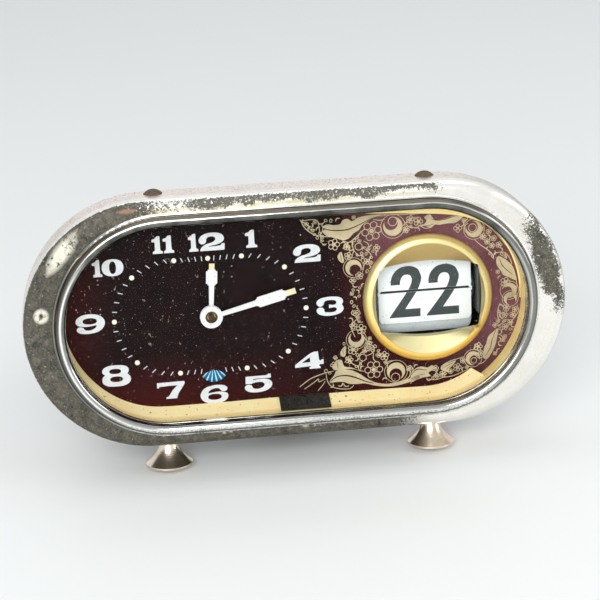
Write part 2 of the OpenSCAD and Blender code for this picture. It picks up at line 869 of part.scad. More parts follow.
module centre_wheel() {
    in_front = bearing([0, 0], third_at);
    behind = bearing([0, 0], barrel_at);
    pinion_d = barrel_d + barrel_h;
    color("gold") place() at([0, 0]) difference() {
        union() {
            slab(centre_wheel_d, centre_wheel_d + wheel_t) rotate(in_front)
                wheel2d(centre_teeth, m_centre, 3, arbor_r + fit);
            slab(train_d + 0.1, pinion_d) circle(1.6);
            slab(pinion_d - 0.2, pinion_d + great_wheel_t + 0.2)
                rotate(behind + 180 / centre_pinion_teeth) gear2d(centre_pinion_teeth, m_barrel);
        }
        slab(plate_d, back_d) circle(arbor_r + fit, $fn = 32);
    }
}

module third_wheel() {
    turn_in = bearing(third_at, [0, 0]);
    turn_out = bearing(third_at, fourth_at);
    color("gold") place() at(third_at) {
        arbor(train_d, back_d);
        slab(centre_wheel_d - 0.3, centre_wheel_d + wheel_t + 0.3)
            rotate(turn_in + 180 / pinion_teeth) gear2d(pinion_teeth, m_centre);
        slab(third_wheel_d, third_wheel_d + wheel_t) rotate(turn_out)
            wheel2d(third_teeth, m_third, 2.4, 0.65);
    }
}

module fourth_wheel() {
    turn_in = bearing(fourth_at, third_at);
    turn_out = bearing(fourth_at, escape_at);
    color("gold") place() at(fourth_at) {
        arbor(train_d, back_d);
        slab(disc_d, train_d) circle(pivot_r, $fn = 32);
        slab(third_wheel_d - 0.3, third_wheel_d + wheel_t + 0.3)
            rotate(turn_in + 180 / pinion_teeth) gear2d(pinion_teeth, m_third);
        slab(fourth_wheel_d, fourth_wheel_d + wheel_t) rotate(turn_out)
            wheel2d(fourth_teeth, m_fourth, 2.2, 0.65);
    }
}

module indicator_disc() {
    color("deepskyblue") place() at(fourth_at) difference() {
        union() {
            slab(disc_d, disc_d + disc_t) circle(disc_r);
            slab(disc_d, disc_d + 1.6) circle(1.2);
        }
        slab(disc_d - 1, disc_d + 3) circle(pivot_r, $fn = 32);
    }
}

module escape_wheel() {
    turn_in = bearing(escape_at, fourth_at);
    color("gold") place() at(escape_at) {
        arbor(train_d, back_d, 0.6);
        slab(fourth_wheel_d - 0.3, fourth_wheel_d + wheel_t + 0.3)
            rotate(turn_in + 180 / pinion_teeth) gear2d(pinion_teeth, m_fourth);
        slab(escape_wheel_d, escape_wheel_d + wheel_t) rotate(lever_dir - 1.2) difference() {
            ratchet2d(escape_teeth, escape_r, escape_r - 1.6);
            difference() {
                circle(escape_r - 2.6);
                circle(1.6);
                for (i = [0 : 2]) rotate(i * 120) translate([0, -0.5]) square([escape_r - 2, 1]);
            }
            circle(0.55, $fn = 24);
        }
    }
}

// pin-pallet lever: two pins over the escape wheel and a fork towards the balance
module pallet_lever() {
    pin_r = 0.25;
    pin_a = 42;
    pin_at = escape_r + 0.6;
    color("silver") place() at([0, 0]) {
        translate(pallet_at) arbor(train_d, back_d, 0.6);
        slab(escape_wheel_d + 1.2, escape_wheel_d + 2) difference() {
            union() {
                translate(pallet_at) circle(1.6, $fn = 32);
                for (side = [-1, 1]) {
                    pin = escape_at + polar(pin_at, lever_dir + side * pin_a);
                    translate(pallet_at) rotate(bearing(pallet_at, pin)) translate([0, -0.5])
                        square([norm(pin - pallet_at), 1]);
                    translate(pin) circle(0.7, $fn = 24);
                }
                translate(pallet_at) rotate(lever_dir) translate([0, -0.6]) square([fork_l - 1.2, 1.2]);
                translate(pallet_at + polar(fork_l - 1.6, lever_dir)) rotate(lever_dir)
                    translate([0, -1.4]) square([2.4, 2.8]);
            }
            translate(pallet_at + polar(fork_l - 0.4, lever_dir)) rotate(lever_dir)
                translate([0, -0.5]) square([3, 1]);
            translate(pallet_at) circle(0.55, $fn = 24);
        }
        for (side = [-1, 1]) translate(escape_at + polar(pin_at, lever_dir + side * pin_a))
            slab(escape_wheel_d - 0.2, escape_wheel_d + 2) circle(pin_r, $fn = 24);
    }
}

module balance_wheel() {
    color("gold") place() at(balance_at) {
        arbor(train_d, back_d, 0.7);
        slab(balance_d, balance_d + balance_t) difference() {
            circle(balance_r);
            circle(balance_r - 1.3);
        }
        slab(balance_d + 0.5, balance_d + 1.5) {
            circle(1.8);
            for (i = [0 : 2]) rotate(i * 120) translate([0, -0.5]) square([balance_r - 1, 1]);
        }
        slab(roller_d, roller_d + roller_t) circle(2.9);
        rotate(lever_dir + 180) translate([roller_pin_at, 0])
            slab(roller_d, escape_wheel_d + 2) circle(0.3, $fn = 24);
        slab(hairspring_d - 0.3, hairspring_d + 0.7) circle(1.3, $fn = 32);
    }
}

module hairspring() {
    color("slateblue") place() at(balance_at) {
        slab(hairspring_d, hairspring_d + hairspring_t) spiral2d(1.45, 6, 6, 0.16);
        translate([6.3, 0, 0]) slab(hairspring_d - 0.2, back_d) circle(0.45, $fn = 24);
    }
}

module regulator() {
    color("silver") place() at(balance_at) {
        slab(back_end, back_end + 0.6) difference() {
            union() {
                circle(4.6);
                translate([-0.8, 3.6]) square([1.6, 9]);
            }
            circle(3 + fit);
        }
        translate([-0.8, 11.4, -rear_d - 2.5]) cube([1.6, 1.2, rear_d + 2.5 - back_end]);
    }
}

// ---- hands and motion work ----

module centre_arbor() {
    turn = bearing([0, 0], minute_wheel_at);
    color("silver") place() at([0, 0]) {
        slab(minute_hand_d - 0.3, knob_d + 1.5) circle(arbor_r, $fn = 48);
        slab(minute_wheel_d - 0.1, minute_wheel_d + motion_t + 0.1) rotate(turn + 180 / cannon_teeth)
            gear2d(cannon_teeth, m_motion);
    }
}

module minute_wheel() {
    turn_in = bearing(minute_wheel_at, [0, 0]);
    color("gold") place() at(minute_wheel_at) difference() {
        union() {
            slab(minute_wheel_d, minute_wheel_d + motion_t) rotate(turn_in) gear2d(minute_teeth, m_motion);
            slab(hour_wheel_d - 0.1, minute_wheel_d + eps) rotate(turn_in + 180 / minute_pinion_teeth)
                gear2d(minute_pinion_teeth, m_hour);
        }
        slab(plate_d - 5, plate_d + 1) circle(stud_r + fit, $fn = 32);
    }
}

module hour_wheel() {
    turn_out = bearing([0, 0], calendar_wheel_at);
    color("gold") place() at([0, 0]) difference() {
        union() {
            slab(hour_hand_d, hour_wheel_d + motion_t) circle(pipe_r, $fn = 48);
            slab(hour_wheel_d, hour_wheel_d + motion_t) rotate(90) gear2d(hour_teeth, m_hour);
            slab(calendar_wheel_d, hour_wheel_d + eps) rotate(turn_out)
                gear2d(hour_pinion_teeth, m_motion);
        }
        slab(hour_hand_d - 1, hour_wheel_d + motion_t + 1) circle(arbor_r + fit, $fn = 48);
    }
}

// pointer with a slim stem, a broad block and a narrow tip, lying along +Y
module hand2d(l, block_from, block_to, stem_w, block_w, bore) {
    difference() {
        union() {
            circle(hub_r);
            polygon([
                [stem_w / 2, 0], [stem_w / 2, block_from - 1], [block_w / 2, block_from],
                [block_w / 2, block_to], [stem_w / 2, block_to + 1.4], [stem_w / 2 - 0.2, l],
                [-stem_w / 2 + 0.2, l], [-stem_w / 2, block_to + 1.4],
                [-block_w / 2, block_to], [-block_w / 2, block_from],
                [-stem_w / 2, block_from - 1], [-stem_w / 2, 0]
            ]);
        }
        circle(bore, $fn = 48);
    }
}

module minute_hand() {
    color("white") place() at([0, 0]) rotate(-minute_at)
        slab(minute_hand_d, minute_hand_d + hand_t)
            hand2d(minute_l, minute_l * 0.55, minute_l * 0.85, 1.9, 3.6, arbor_r);
}

module hour_hand() {
    color("white") place() at([0, 0]) rotate(-hour_at)
        slab(hour_hand_d, hour_hand_d + hand_t)
            hand2d(hour_l, hour_l * 0.61, hour_l * 0.85, 1.8, 3.7, pipe_r);
}

module knob(r, h, shank_r, grooves = 20) {
    difference() {
        union() {
            slab(knob_d, knob_d + h) circle(r, $fn = 64);
            slab(knob_d - 1, knob_d + eps) circle(r * 0.55, $fn = 48);
        }
        for (i = [0 : grooves - 1]) rotate(i * 360 / grooves) translate([r + 0.25, 0])
            slab(knob_d - 2, knob_d + h + 1) circle(0.6, $fn = 16);
        slab(knob_d - 2, knob_d + 1.5) circle(shank_r, $fn = 48);
    }
}

module hand_set_knob() {
    color("gold") place() at([0, 0]) knob(knob_r - 0.8, knob_h, arbor_r);
}

// studs on the plates for the minute wheel, the calendar wheel and the click
module plate_studs() {
    color("silver") place() at([0, 0]) {
        translate(minute_wheel_at) slab(hour_wheel_d - 0.3, plate_d) circle(stud_r, $fn = 32);
        translate(calendar_wheel_at) slab(calendar_wheel_d - 0.3, plate_d) circle(stud_r, $fn = 32);
        translate(click_pivot) slab(back_end, ratchet_d + ratchet_t + 0.4) circle(stud_r, $fn = 32);
    }
}

// ---- calendar ----

module calendar_wheel() {
    turn_in = bearing(calendar_wheel_at, [0, 0]);
    color("gold") place() at(calendar_wheel_at) {
        slab(calendar_wheel_d, calendar_wheel_d + motion_t) difference() {
            rotate(turn_in + 180 / calendar_teeth) gear2d(calendar_teeth, m_motion);
            circle(stud_r + fit, $fn = 32);
        }
        translate([-5.6, 5.6, 0]) slab(calendar_wheel_d - 0.6, calendar_wheel_d) circle(0.7, $fn = 24);
    }
}

lever_d = dial_back + 0.3;
lever_t = 0.6;

// arm that the day wheel's pin pushes once a day, and its pawl behind the date ratchet
module calendar_lever() {
    tail = [-20.4, 7];
    pawl_x = date_ratchet_x + date_ratchet_t / 2;
    pawl_l = drum_d - date_ratchet_r - 0.4;
    pawl_w = 1.2;
    color("silver") place() {
        slab(lever_d, lever_d + lever_t) difference() {
            union() {
                translate(lever_pivot) circle(2.2, $fn = 32);
                translate(lever_pivot) rotate(bearing([0, 0], tail)) translate([0, -0.8])
                    square([norm(tail), 1.6]);
                translate(lever_pivot) rotate(bearing(lever_pivot, [pawl_x, -4])) translate([0, -0.8])
                    square([norm([pawl_x, -4] - lever_pivot), 1.6]);
            }
            translate(lever_pivot) circle(stud_r + fit, $fn = 32);
        }
        translate([pawl_x - pawl_w / 2, -4.8, -pawl_l]) cube([pawl_w, 1.6, pawl_l - lever_d]);
    }
}

// side plates that carry the drum, a web on the rear cover, a shelf for the lever, a shaft bush
module calendar_bracket() {
    front = dial_back;
    h = 16;
    shelf_d = lever_d + lever_t + 1.5;
    shelf_y = lever_pivot[1] - 3;
    web_x = knob_shaft_x - 4;
    color("#26292b") place() difference() {
        union() {
            for (x = [bracket_l, bracket_r]) translate([x, drum_y - h / 2, -cover_in])
                cube([bracket_t, h, cover_in - front]);
            translate([web_x, drum_y - h / 2, -cover_in])
                cube([bracket_r + bracket_t - web_x, h, bracket_t]);
            translate([bracket_l, shelf_y, -shelf_d - 4])
                cube([bracket_t, drum_y - shelf_y, shelf_d + 4 - front]);
            translate([lever_pivot[0] - 3, shelf_y, -shelf_d - 0.8])
                cube([bracket_l - lever_pivot[0] + 3 + eps, 6, 0.8]);
            translate(lever_pivot) slab(lever_d - 0.1, shelf_d + eps) circle(stud_r, $fn = 32);
            translate([knob_shaft_x, drum_y]) slab(crown_d + 5, cover_in) circle(3);
        }
        translate([knob_shaft_x, drum_y]) slab(crown_d, cover_in + 1) circle(knob_shaft_r + fit, $fn = 48);
        translate([bracket_l - 1, drum_y, -drum_d]) rotate([0, 90, 0])
            cylinder(r = axle_r + fit, h = bracket_r - bracket_l + 4, $fn = 48);
        for (p = web_places()) translate([p[0], p[1], -cover_in - 1]) cylinder(r = 1, h = 4);
    }
}

module drum_axle() {
    turn = 180 / bevel_teeth;
    color("silver") place() translate([0, drum_y, -drum_d]) rotate([0, 90, 0]) {
        translate([0, 0, bevel_x - 0.6]) cylinder(r = axle_r, h = bracket_r + 2 - bevel_x, $fn = 48);
        translate([0, 0, bevel_x]) linear_extrude(bevel_t) rotate(turn) gear2d(bevel_teeth, 0.75, 0.7, 1);
    }
}

module drum_discs() {
    color("#222426") place() difference() {
        translate([0, drum_y, -drum_d]) rotate([0, 90, 0])
            for (x = [leaf_x - disc_gap - drum_disc_t, leaf_x + leaf_w + disc_gap])
                translate([0, 0, x]) cylinder(r = drum_disc_r, h = drum_disc_t, $fn = 96);
        translate([0, drum_y, -drum_d]) rotate([0, 90, 0])
            cylinder(r = axle_r, h = bracket_r + 5, $fn = 48);
        translate([0, drum_y, -leaf_axis_d]) rotate([0, 90, 0])
            cylinder(r = leaf_pin_r + fit, h = bracket_r + 5, $fn = 24);
    }
}

module date_ratchet() {
    color("gold") place() translate([date_ratchet_x, drum_y, -drum_d]) rotate([0, 90, 0])
        linear_extrude(date_ratchet_t) difference() {
            ratchet2d(leaves, date_ratchet_r, date_ratchet_r - 0.8, -1);
            circle(axle_r, $fn = 48);
        }
}

// leaf in its own plane: X across, Y from the hinge outwards, rounded at the far corners
module leaf2d() {
    translate([0, leaf_gap]) square([leaf_w, leaf_l - leaf_corner - leaf_gap]);
    translate([leaf_corner, leaf_l - leaf_corner - eps])
        square([leaf_w - 2 * leaf_corner, leaf_corner + eps]);
    for (x = [leaf_corner, leaf_w - leaf_corner]) translate([x, leaf_l - leaf_corner])
        circle(leaf_corner, $fn = 48);
}

// loops at both sides of a leaf that reach the drum discs
module leaf_loops2d() {
    for (x = [-disc_gap, leaf_w - 1]) translate([x, leaf_gap]) square([1 + disc_gap, 0.8]);
}

// a sheet hung at a point of the drum circle: turn 0 points up, 90 to the back, 180 down
module hang(height, depth, turn) {
    translate([leaf_x, height, -depth]) rotate([-turn, 0, 0])
        translate([0, 0, -leaf_t / 2]) linear_extrude(leaf_t) children();
}

// how far a hanging leaf has tipped back from upright, by its place round the drum
function leaf_turn(a) = a <= 180 ? a - 8 : a <= 225 ? 172 + (a - 180) * 8 / 45 : 180;

module leaf_stack() {
    color("ivory") place() for (i = [1 : leaves - 2]) {
        a = i * 360 / leaves;
        hang(drum_y + hinge_r * sin(a), drum_d - hinge_r * cos(a), leaf_turn(a)) {
            leaf2d();
            leaf_loops2d();
        }
    }
}

module lower_leaf() {
    color("ivory") place() hang(drum_y, leaf_d, 180) {
        leaf2d();
        leaf_loops2d();
    }
}

// standing leaf that falls forward: its pins turn in the drum discs
module upper_leaf() {
    pin_l = disc_gap + drum_disc_t;
    color("white") place() {
        hang(drum_y, leaf_d, 0) {
            leaf2d();
            for (x = [0, leaf_w - 0.8]) translate([x, 0]) square([0.8, leaf_gap + eps]);
        }
        for (x = [leaf_x - pin_l, leaf_x + leaf_w - 0.5]) translate([x, drum_y, -leaf_axis_d])
            rotate([0, 90, 0]) cylinder(r = leaf_pin_r, h = pin_l + 0.5, $fn = 24);
    }
}

// flat spring under the date ratchet that keeps the drum on its date
module detent_spring() {
    spring_t = 0.3;
    tip_y = drum_y - date_ratchet_r - 0.15 - spring_t;
    color("slategray") place() {
        translate([date_ratchet_x - 0.4, tip_y, -drum_d - 11])
            cube([date_ratchet_t + 0.8, spring_t, 13]);
        translate([date_ratchet_x - 0.4, tip_y, -drum_d - 12])
            cube([bracket_l - date_ratchet_x + 0.4, 2, 2]);
    }
}

// shaft of the calendar knob with its crown wheel behind the drum pinion
module calendar_shaft() {
    tooth_w = 0.75;
    crown_in = bevel_r - bevel_t / 2;
    teeth_d = crown_d - 0.5;
    plate_front = crown_d + 0.75;
    color("silver") place() translate([knob_shaft_x, drum_y, 0]) {
        slab(plate_front, plate_front + 1) circle(bevel_r + bevel_t / 2);
        for (i = [0 : bevel_teeth - 1]) rotate(i * 360 / bevel_teeth)
            translate([crown_in, -tooth_w / 2]) slab(teeth_d, plate_front + eps)
                square([bevel_t - 0.1, tooth_w]);
        slab(plate_front, knob_d + 1.5) circle(knob_shaft_r, $fn = 48);
    }
}

module calendar_knob() {
    color("gold") place() translate([knob_shaft_x, drum_y, 0]) knob(knob_r, knob_h, knob_shaft_r);
}

front_case();
bezel_ring();
front_glass();
inner_wall();
liner_strip();
liner_tape();
dial_plate();
calendar_ring();
rear_housing();
rear_cover();
left_foot();
right_foot();
foot_nuts();
top_screws();
rear_leg();
leg_screws();
cover_screws();
dial_feet();
movement_posts();
front_plate();
back_plate();
plate_pillars();
barrel();
mainspring();
barrel_arbor();
ratchet_wheel();
winding_key();
click();
click_spring();
centre_wheel();
third_wheel();
fourth_wheel();
indicator_disc();
escape_wheel();
pallet_lever();
balance_wheel();
hairspring();
regulator();
centre_arbor();
minute_hand();
minute_wheel();
hour_wheel();
hour_hand();
hand_set_knob();
plate_studs();
calendar_wheel();
calendar_lever();
calendar_bracket();
drum_axle();
drum_discs();
date_ratchet();
leaf_stack();
lower_leaf();
upper_leaf();
detent_spring();
calendar_shaft();
calendar_knob();
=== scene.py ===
import json
import math
import random

import bpy
import bmesh
import numpy as np
from mathutils import Matrix, Vector
from mathutils.geometry import delaunay_2d_cdt


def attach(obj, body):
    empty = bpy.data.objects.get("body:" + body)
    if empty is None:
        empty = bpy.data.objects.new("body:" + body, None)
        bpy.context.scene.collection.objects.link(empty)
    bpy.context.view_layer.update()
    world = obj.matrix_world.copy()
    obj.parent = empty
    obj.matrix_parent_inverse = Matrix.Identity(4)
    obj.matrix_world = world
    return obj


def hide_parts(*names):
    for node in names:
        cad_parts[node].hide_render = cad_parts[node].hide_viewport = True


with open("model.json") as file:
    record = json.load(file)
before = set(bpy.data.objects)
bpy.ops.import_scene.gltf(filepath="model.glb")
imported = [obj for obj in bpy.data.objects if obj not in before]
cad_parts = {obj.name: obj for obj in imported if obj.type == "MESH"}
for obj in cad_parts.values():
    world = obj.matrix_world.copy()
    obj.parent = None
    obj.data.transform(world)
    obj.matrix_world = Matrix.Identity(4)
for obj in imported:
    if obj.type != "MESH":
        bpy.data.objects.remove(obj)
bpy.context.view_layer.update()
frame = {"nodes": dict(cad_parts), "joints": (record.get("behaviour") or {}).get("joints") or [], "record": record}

NODES = frame["nodes"]
JOINTS = {j["name"]: j for j in frame["joints"]}
MM = 0.001
TURN = 2 * math.pi

# The case's own frame: x to the right, y up the dial, depth towards the back, all in mm.
HAND_DEPTH = 4.3
HANDS = Vector(JOINTS["minute_hand_turn"]["pos_m"])
BACK = Vector(JOINTS["minute_hand_turn"]["axis"])
RIGHT = Vector((1, 0, 0))
UP = RIGHT.cross(BACK)
ORIGIN = HANDS - BACK * HAND_DEPTH * MM - RIGHT * HANDS.x
HANDS_X = HANDS.x / MM

DIAL = 7.5                          # depth of the dial's face
PRINT_IN = 0.05                     # how far print reaches into what it is on
CASE_S = 48.5                       # half length of the spine of the case's stadium outline
OPEN_S, OPEN_R = 43.1, 33.4         # the glass opening's half spine and radius
CAL_X, CAL_Y = 44.8, 0.5            # middle of the calendar ring
# The calendar ring: radius of its crest, and width and height of its outer side.
CREST, RING_SIDE, RING_RISE = 19.2, 2.9, 2.6
SPLIT_Y = 1.3                       # height of the split between the date leaves
LEAF_DEPTH, LEAF_FACE = 14.2, 0.09  # middle of the standing leaves, and half their thickness
# The leaf drum: depth of its axis, and radius of the leaves' pivots and of their sweep.
DRUM_DEPTH, PIVOT_R, SWEEP_R = 18.9, 4.5, 15.9
LEAF_COUNT, LEAF_LEAN = 31, 8       # leaves on the drum, and how far they lean, in degrees


def at(x, y, depth):
    return ORIGIN + (RIGHT * x + UP * y + BACK * depth) * MM


def show(name, data):
    ob = bpy.data.objects.new(name, data)
    bpy.context.scene.collection.objects.link(ob)
    return ob


# ------------ camera

def make_camera():
    down, side, roll = math.radians(22.97), math.radians(6.88), math.radians(1.56)
    target, distance = Vector((0.00068, -0.0210, 0.0585)), 0.652
    forward = Vector((math.sin(side) * math.cos(down), math.cos(side) * math.cos(down), -math.sin(down)))
    right = Vector((math.cos(side), -math.sin(side), 0))
    up = right.cross(forward)
    cam_right = right * math.cos(roll) - up * math.sin(roll)
    cam_up = right * math.sin(roll) + up * math.cos(roll)
    cam = bpy.data.cameras.new("camera")
    cam.lens = 118.84
    cam.sensor_width = 36
    cam.clip_start = 0.01
    ob = show("camera", cam)
    turn = Matrix((cam_right, cam_up, -forward)).transposed().to_4x4()
    ob.matrix_world = Matrix.Translation(target - forward * distance) @ turn
    bpy.context.scene.camera = ob


# ------------ node trees

def linear(rgb):
    """A colour written as it looks, 0 to 255, to the shader's linear scale."""
    return tuple((c / 255 / 12.92) if c <= 10 else ((c / 255 + 0.055) / 1.055) ** 2.4 for c in rgb) + (1,)


class Value:
    """An output of a node, with which one can calculate. a | b is the larger of both."""

    def __init__(self, nodes, socket):
        self.nodes, self.socket = nodes, socket

    def __add__(self, other):
        return self.nodes.math("ADD", self, other)

    def __sub__(self, other):
        return self.nodes.math("SUBTRACT", self, other)

    def __rsub__(self, other):
        return self.nodes.math("SUBTRACT", other, self)

    def __mul__(self, other):
        return self.nodes.math("MULTIPLY", self, other)

    def __or__(self, other):
        return self.nodes.math("MAXIMUM", self, other)


class Nodes:
    """Builds a node tree."""

    def __init__(self, tree, output):
        self.tree = tree
        self.tree.nodes.clear()
        self.out = self.node(output)

    def put(self, socket, value):
        """Links or sets an input. Three numbers are a colour, 0 to 255, and None leaves it as it is."""
        if isinstance(value, Value):
            value = value.socket
        if isinstance(value, bpy.types.NodeSocket):
            self.tree.links.new(value, socket)
        elif value is not None:
            socket.default_value = linear(value) if isinstance(value, tuple) and len(value) == 3 else value

    def node(self, kind, *values, inputs=(), **settings):
        """A node with its settings, its inputs in order, and then those that are named."""
        n = self.tree.nodes.new("ShaderNode" + kind)
        for key, value in settings.items():
            setattr(n, key, value)
        for socket, value in zip(n.inputs, values):
            self.put(socket, value)
        for key, value in dict(inputs).items():
            self.put(n.inputs[key], value)
        return n

    def value(self, kind, *values, output=0, **more):
        return Value(self, self.node(kind, *values, **more).outputs[output])

    def math(self, op, a, b=None):
        return self.value("Math", a, b, operation=op)

    def use(self, shader):
        """Links a shader to the tree's output."""
        self.put(self.out.inputs[0], shader)


class Mat(Nodes):
    """Builds one material's nodes."""

    def __init__(self, name):
        self.mat = bpy.data.materials.new(name)
        self.mat.use_nodes = True
        super().__init__(self.mat.node_tree, "OutputMaterial")
        self.coord = self.node("TexCoord").outputs["Object"]

    def along(self, direction, start=ORIGIN):
        """Distance from start along a direction, in mm."""
        place = self.value("VectorMath", self.coord, start, operation="SUBTRACT")
        return self.value("VectorMath", place, Vector(direction) / MM, operation="DOT_PRODUCT", output="Value")

    def noise(self, size, detail=3.0, rough=0.5, distort=0.0, seed=0.0, stretch=None):
        """Noise with features of about size mm."""
        place = self.value("Mapping", self.coord, inputs={"Scale": Vector(stretch)}) if stretch else self.coord
        sets = {"W": seed, "Scale": 1 / (size * MM), "Detail": detail, "Roughness": rough, "Distortion": distort}
        return self.value("TexNoise", place, inputs=sets, noise_dimensions="4D", output="Fac")

    def specks(self, spacing, size, seed=0.0, share=1.0):
        """Round specks: 1 inside a speck, 0 outside. share says how many of the cells hold one."""
        place = Vector((seed * 0.013, seed * 0.007, seed * 0.011))
        shift = self.value("Mapping", self.coord, inputs={"Location": place})
        cells = self.node("TexVoronoi", shift, inputs={"Scale": 1 / (spacing * MM)}, voronoi_dimensions="3D")
        inside = self.ramp(cells.outputs["Distance"], [(size / spacing * 0.6, 1), (size / spacing, 0)])
        if share < 1:
            inside = inside * self.math("LESS_THAN", self.value("SeparateColor", cells.outputs["Color"]), share)
        return inside

    def spot(self, x, y, place, half, turn=0.0, soft=0.35):
        """1 inside an ellipse of half sizes round a place of the case's plane, 0 outside."""
        co, si = math.cos(turn), math.sin(turn)
        dx, dy = x - place[0], y - place[1]
        u = dx * (co / half[0]) + dy * (si / half[0])
        v = dx * (-si / half[1]) + dy * (co / half[1])
        return self.span(self.length(u, v), 1 + soft, 1 - soft)

    def length(self, x, y):
        return self.math("SQRT", x * x + y * y)

    def ramp(self, fac, stops):
        """Ramp over (position, value or colour) stops."""
        n = self.node("ValToRGB", fac)
        elements = n.color_ramp.elements
        while len(elements) < len(stops):
            elements.new(0.5)
        for element, (place, _) in zip(elements, stops):
            element.position = min(max(place, 0), 1)
        for element, (_, value) in zip(elements, stops):
            element.color = linear(value) if isinstance(value, tuple) else (value, value, value, 1)
        return Value(self, n.outputs[0])

    def span(self, value, low, high, a=0.0, b=1.0):
        """value between low and high, as a number between a and b, held at the ends."""
        return self.value("MapRange", value, low, high, a, b, clamp=True)

    def mix(self, fac, a, b):
        """Colour from a to b."""
        return self.value("Mix", inputs={"Factor": fac, 6: a, 7: b}, data_type="RGBA", output=2)

    def over(self, color, *layers):
        """A colour with layers over it, each of them a share and a colour."""
        for share, layer in layers:
            color = self.mix(share, color, layer)
        return color

    def blend(self, fac, a, b):
        """Number from a to b."""
        return self.value("Mix", inputs={"Factor": fac, 2: a, 3: b}, data_type="FLOAT")

    def bump(self, height, depth):
        """Bump of a 0 to 1 height that is depth mm deep."""
        return self.value("Bump", inputs={"Height": height, "Strength": 1.0, "Distance": depth * MM})

    def finish(self, color, rough, metal=0.0, normal=None, more=()):
        sets = {"Base Color": color, "Roughness": rough, "Metallic": metal, "Normal": normal, **dict(more)}
        self.use(self.value("BsdfPrincipled", inputs=sets))
        return self.mat


# ------------ flat shapes

C = None    # after a point in a row of coordinates: the point is a corner


def pairs(row, unit=1):
    """Points from a row of coordinates, of which unit make a mm. A corner has a third value."""
    out, rest = [], list(row)
    while rest:
        corner = len(rest) > 2 and rest[2] is C
        out.append((rest[0] / unit, rest[1] / unit) + ((1,) if corner else ()))
        rest = rest[3 if corner else 2:]
    return out


def tenths(row):
    """Points from a row of coordinates in tenths of a mm."""
    return pairs(row, 10)


def curve(points, steps=6):
    """Closed outline through points."""
    n = len(points)
    out = []
    for i in range(n):
        p0, p1, p2, p3 = (points[(i + k) % n] for k in (-1, 0, 1, 2))
        a, b = np.array(p1[:2], float), np.array(p2[:2], float)
        chord = b - a
        ta = chord if len(p1) > 2 else (b - np.array(p0[:2], float)) / 2
        tb = chord if len(p2) > 2 else (np.array(p3[:2], float) - a) / 2
        size = np.linalg.norm(chord)
        for t in (ta, tb):
            length = np.linalg.norm(t)
            if length > size:
                t *= size / length
        if len(p1) > 2 and len(p2) > 2:
            out.append(a)
            continue
        for k in range(steps):
            s = k / steps
            out.append((2 * s**3 - 3 * s**2 + 1) * a + (s**3 - 2 * s**2 + s) * ta
                       + (3 * s**2 - 2 * s**3) * b + (s**3 - s**2) * tb)
    return np.array(out)


def shape(*row):
    return curve(pairs(row))


def open_curve(points, steps=6):
    pts = [np.array(p, float) for p in points]
    pts = [2 * pts[0] - pts[1]] + pts + [2 * pts[-1] - pts[-2]]
    out = []
    for i in range(1, len(pts) - 2):
        p0, p1, p2, p3 = pts[i - 1:i + 3]
        for k in range(steps):
            s = k / steps
            out.append(0.5 * (2 * p1 + (p2 - p0) * s + (2 * p0 - 5 * p1 + 4 * p2 - p3) * s**2
                              + (3 * p1 - p0 - 3 * p2 + p3) * s**3))
    out.append(pts[-2])
    return np.array(out)


def stroke(points, widths, steps=6):
    """Outline of a line of changing width, with round ends."""
    line = open_curve(points, steps)
    t = np.linspace(0, 1, len(line))
    w = np.interp(t, np.linspace(0, 1, len(widths)), widths)
    d = np.gradient(line, axis=0)
    d /= np.maximum(np.linalg.norm(d, axis=1), 1e-9)[:, None]
    side = np.c_[-d[:, 1], d[:, 0]] * w[:, None] / 2
    left, right = line + side, line - side
    ends = []
    for p, u, r in ((line[-1], d[-1], w[-1] / 2), (line[0], -d[0], w[0] / 2)):
        v = np.array([-u[1], u[0]])
        ends.append([p + r * (v * math.cos(a) + u * math.sin(a)) for a in np.linspace(0.3, math.pi - 0.3, 4)])
    return np.r_[left, ends[0], right[::-1], ends[1]]


def oval(x, y, rx, ry=None, n=32, power=2.0, turn=0.0):
    ry = rx if ry is None else ry
    a = np.linspace(0, TURN, n, endpoint=False)
    c, s = np.cos(a), np.sin(a)
    p = np.c_[rx * np.sign(c) * np.abs(c) ** (2 / power), ry * np.sign(s) * np.abs(s) ** (2 / power)]
    co, si = math.cos(turn), math.sin(turn)
    return p @ np.array([[co, si], [-si, co]]) + [x, y]


def box2d(x0, y0, x1, y1):
    return np.array([(x0, y0), (x1, y0), (x1, y1), (x0, y1)], float)


def inside(outline, points):
    """Even-odd test of many points."""
    x, y = points[:, 0], points[:, 1]
    a, b = outline, np.roll(outline, -1, axis=0)
    hit = np.zeros(len(points), bool)
    lo, hi = outline.min(0), outline.max(0)
    near = (x > lo[0]) & (x < hi[0]) & (y > lo[1]) & (y < hi[1])
    if near.any():
        px, py = x[near][:, None], y[near][:, None]
        cross = (a[:, 1] > py) != (b[:, 1] > py)
        with np.errstate(divide="ignore", invalid="ignore"):
            at_x = (b[:, 0] - a[:, 0]) * (py - a[:, 1]) / (b[:, 1] - a[:, 1]) + a[:, 0]
        hit[near] = (cross & (px < at_x)).sum(1) % 2 == 1
    return hit


def region(adds, cuts=(), clips=()):
    """Triangles of the flat region inside any of adds, outside all cuts, inside all clips."""
    verts, edges = [], []
    for o in list(adds) + list(cuts) + list(clips):
        n0 = len(verts)
        verts += [Vector((float(p[0]), float(p[1]))) for p in o]
        edges += [(n0 + i, n0 + (i + 1) % len(o)) for i in range(len(o))]
    v, _, f, _, _, _ = delaunay_2d_cdt(verts, edges, [], 0, 1e-4)
    v = np.array([tuple(p) for p in v], float).reshape(-1, 2)
    f = np.array([t for t in f if len(t) == 3], int).reshape(-1, 3)
    centre = v[f].mean(1)
    keep = np.any([inside(np.asarray(o, float), centre) for o in adds], axis=0)
    for o in cuts:
        keep &= ~inside(np.asarray(o, float), centre)
    for o in clips:
        keep &= inside(np.asarray(o, float), centre)
    return v, f[keep]


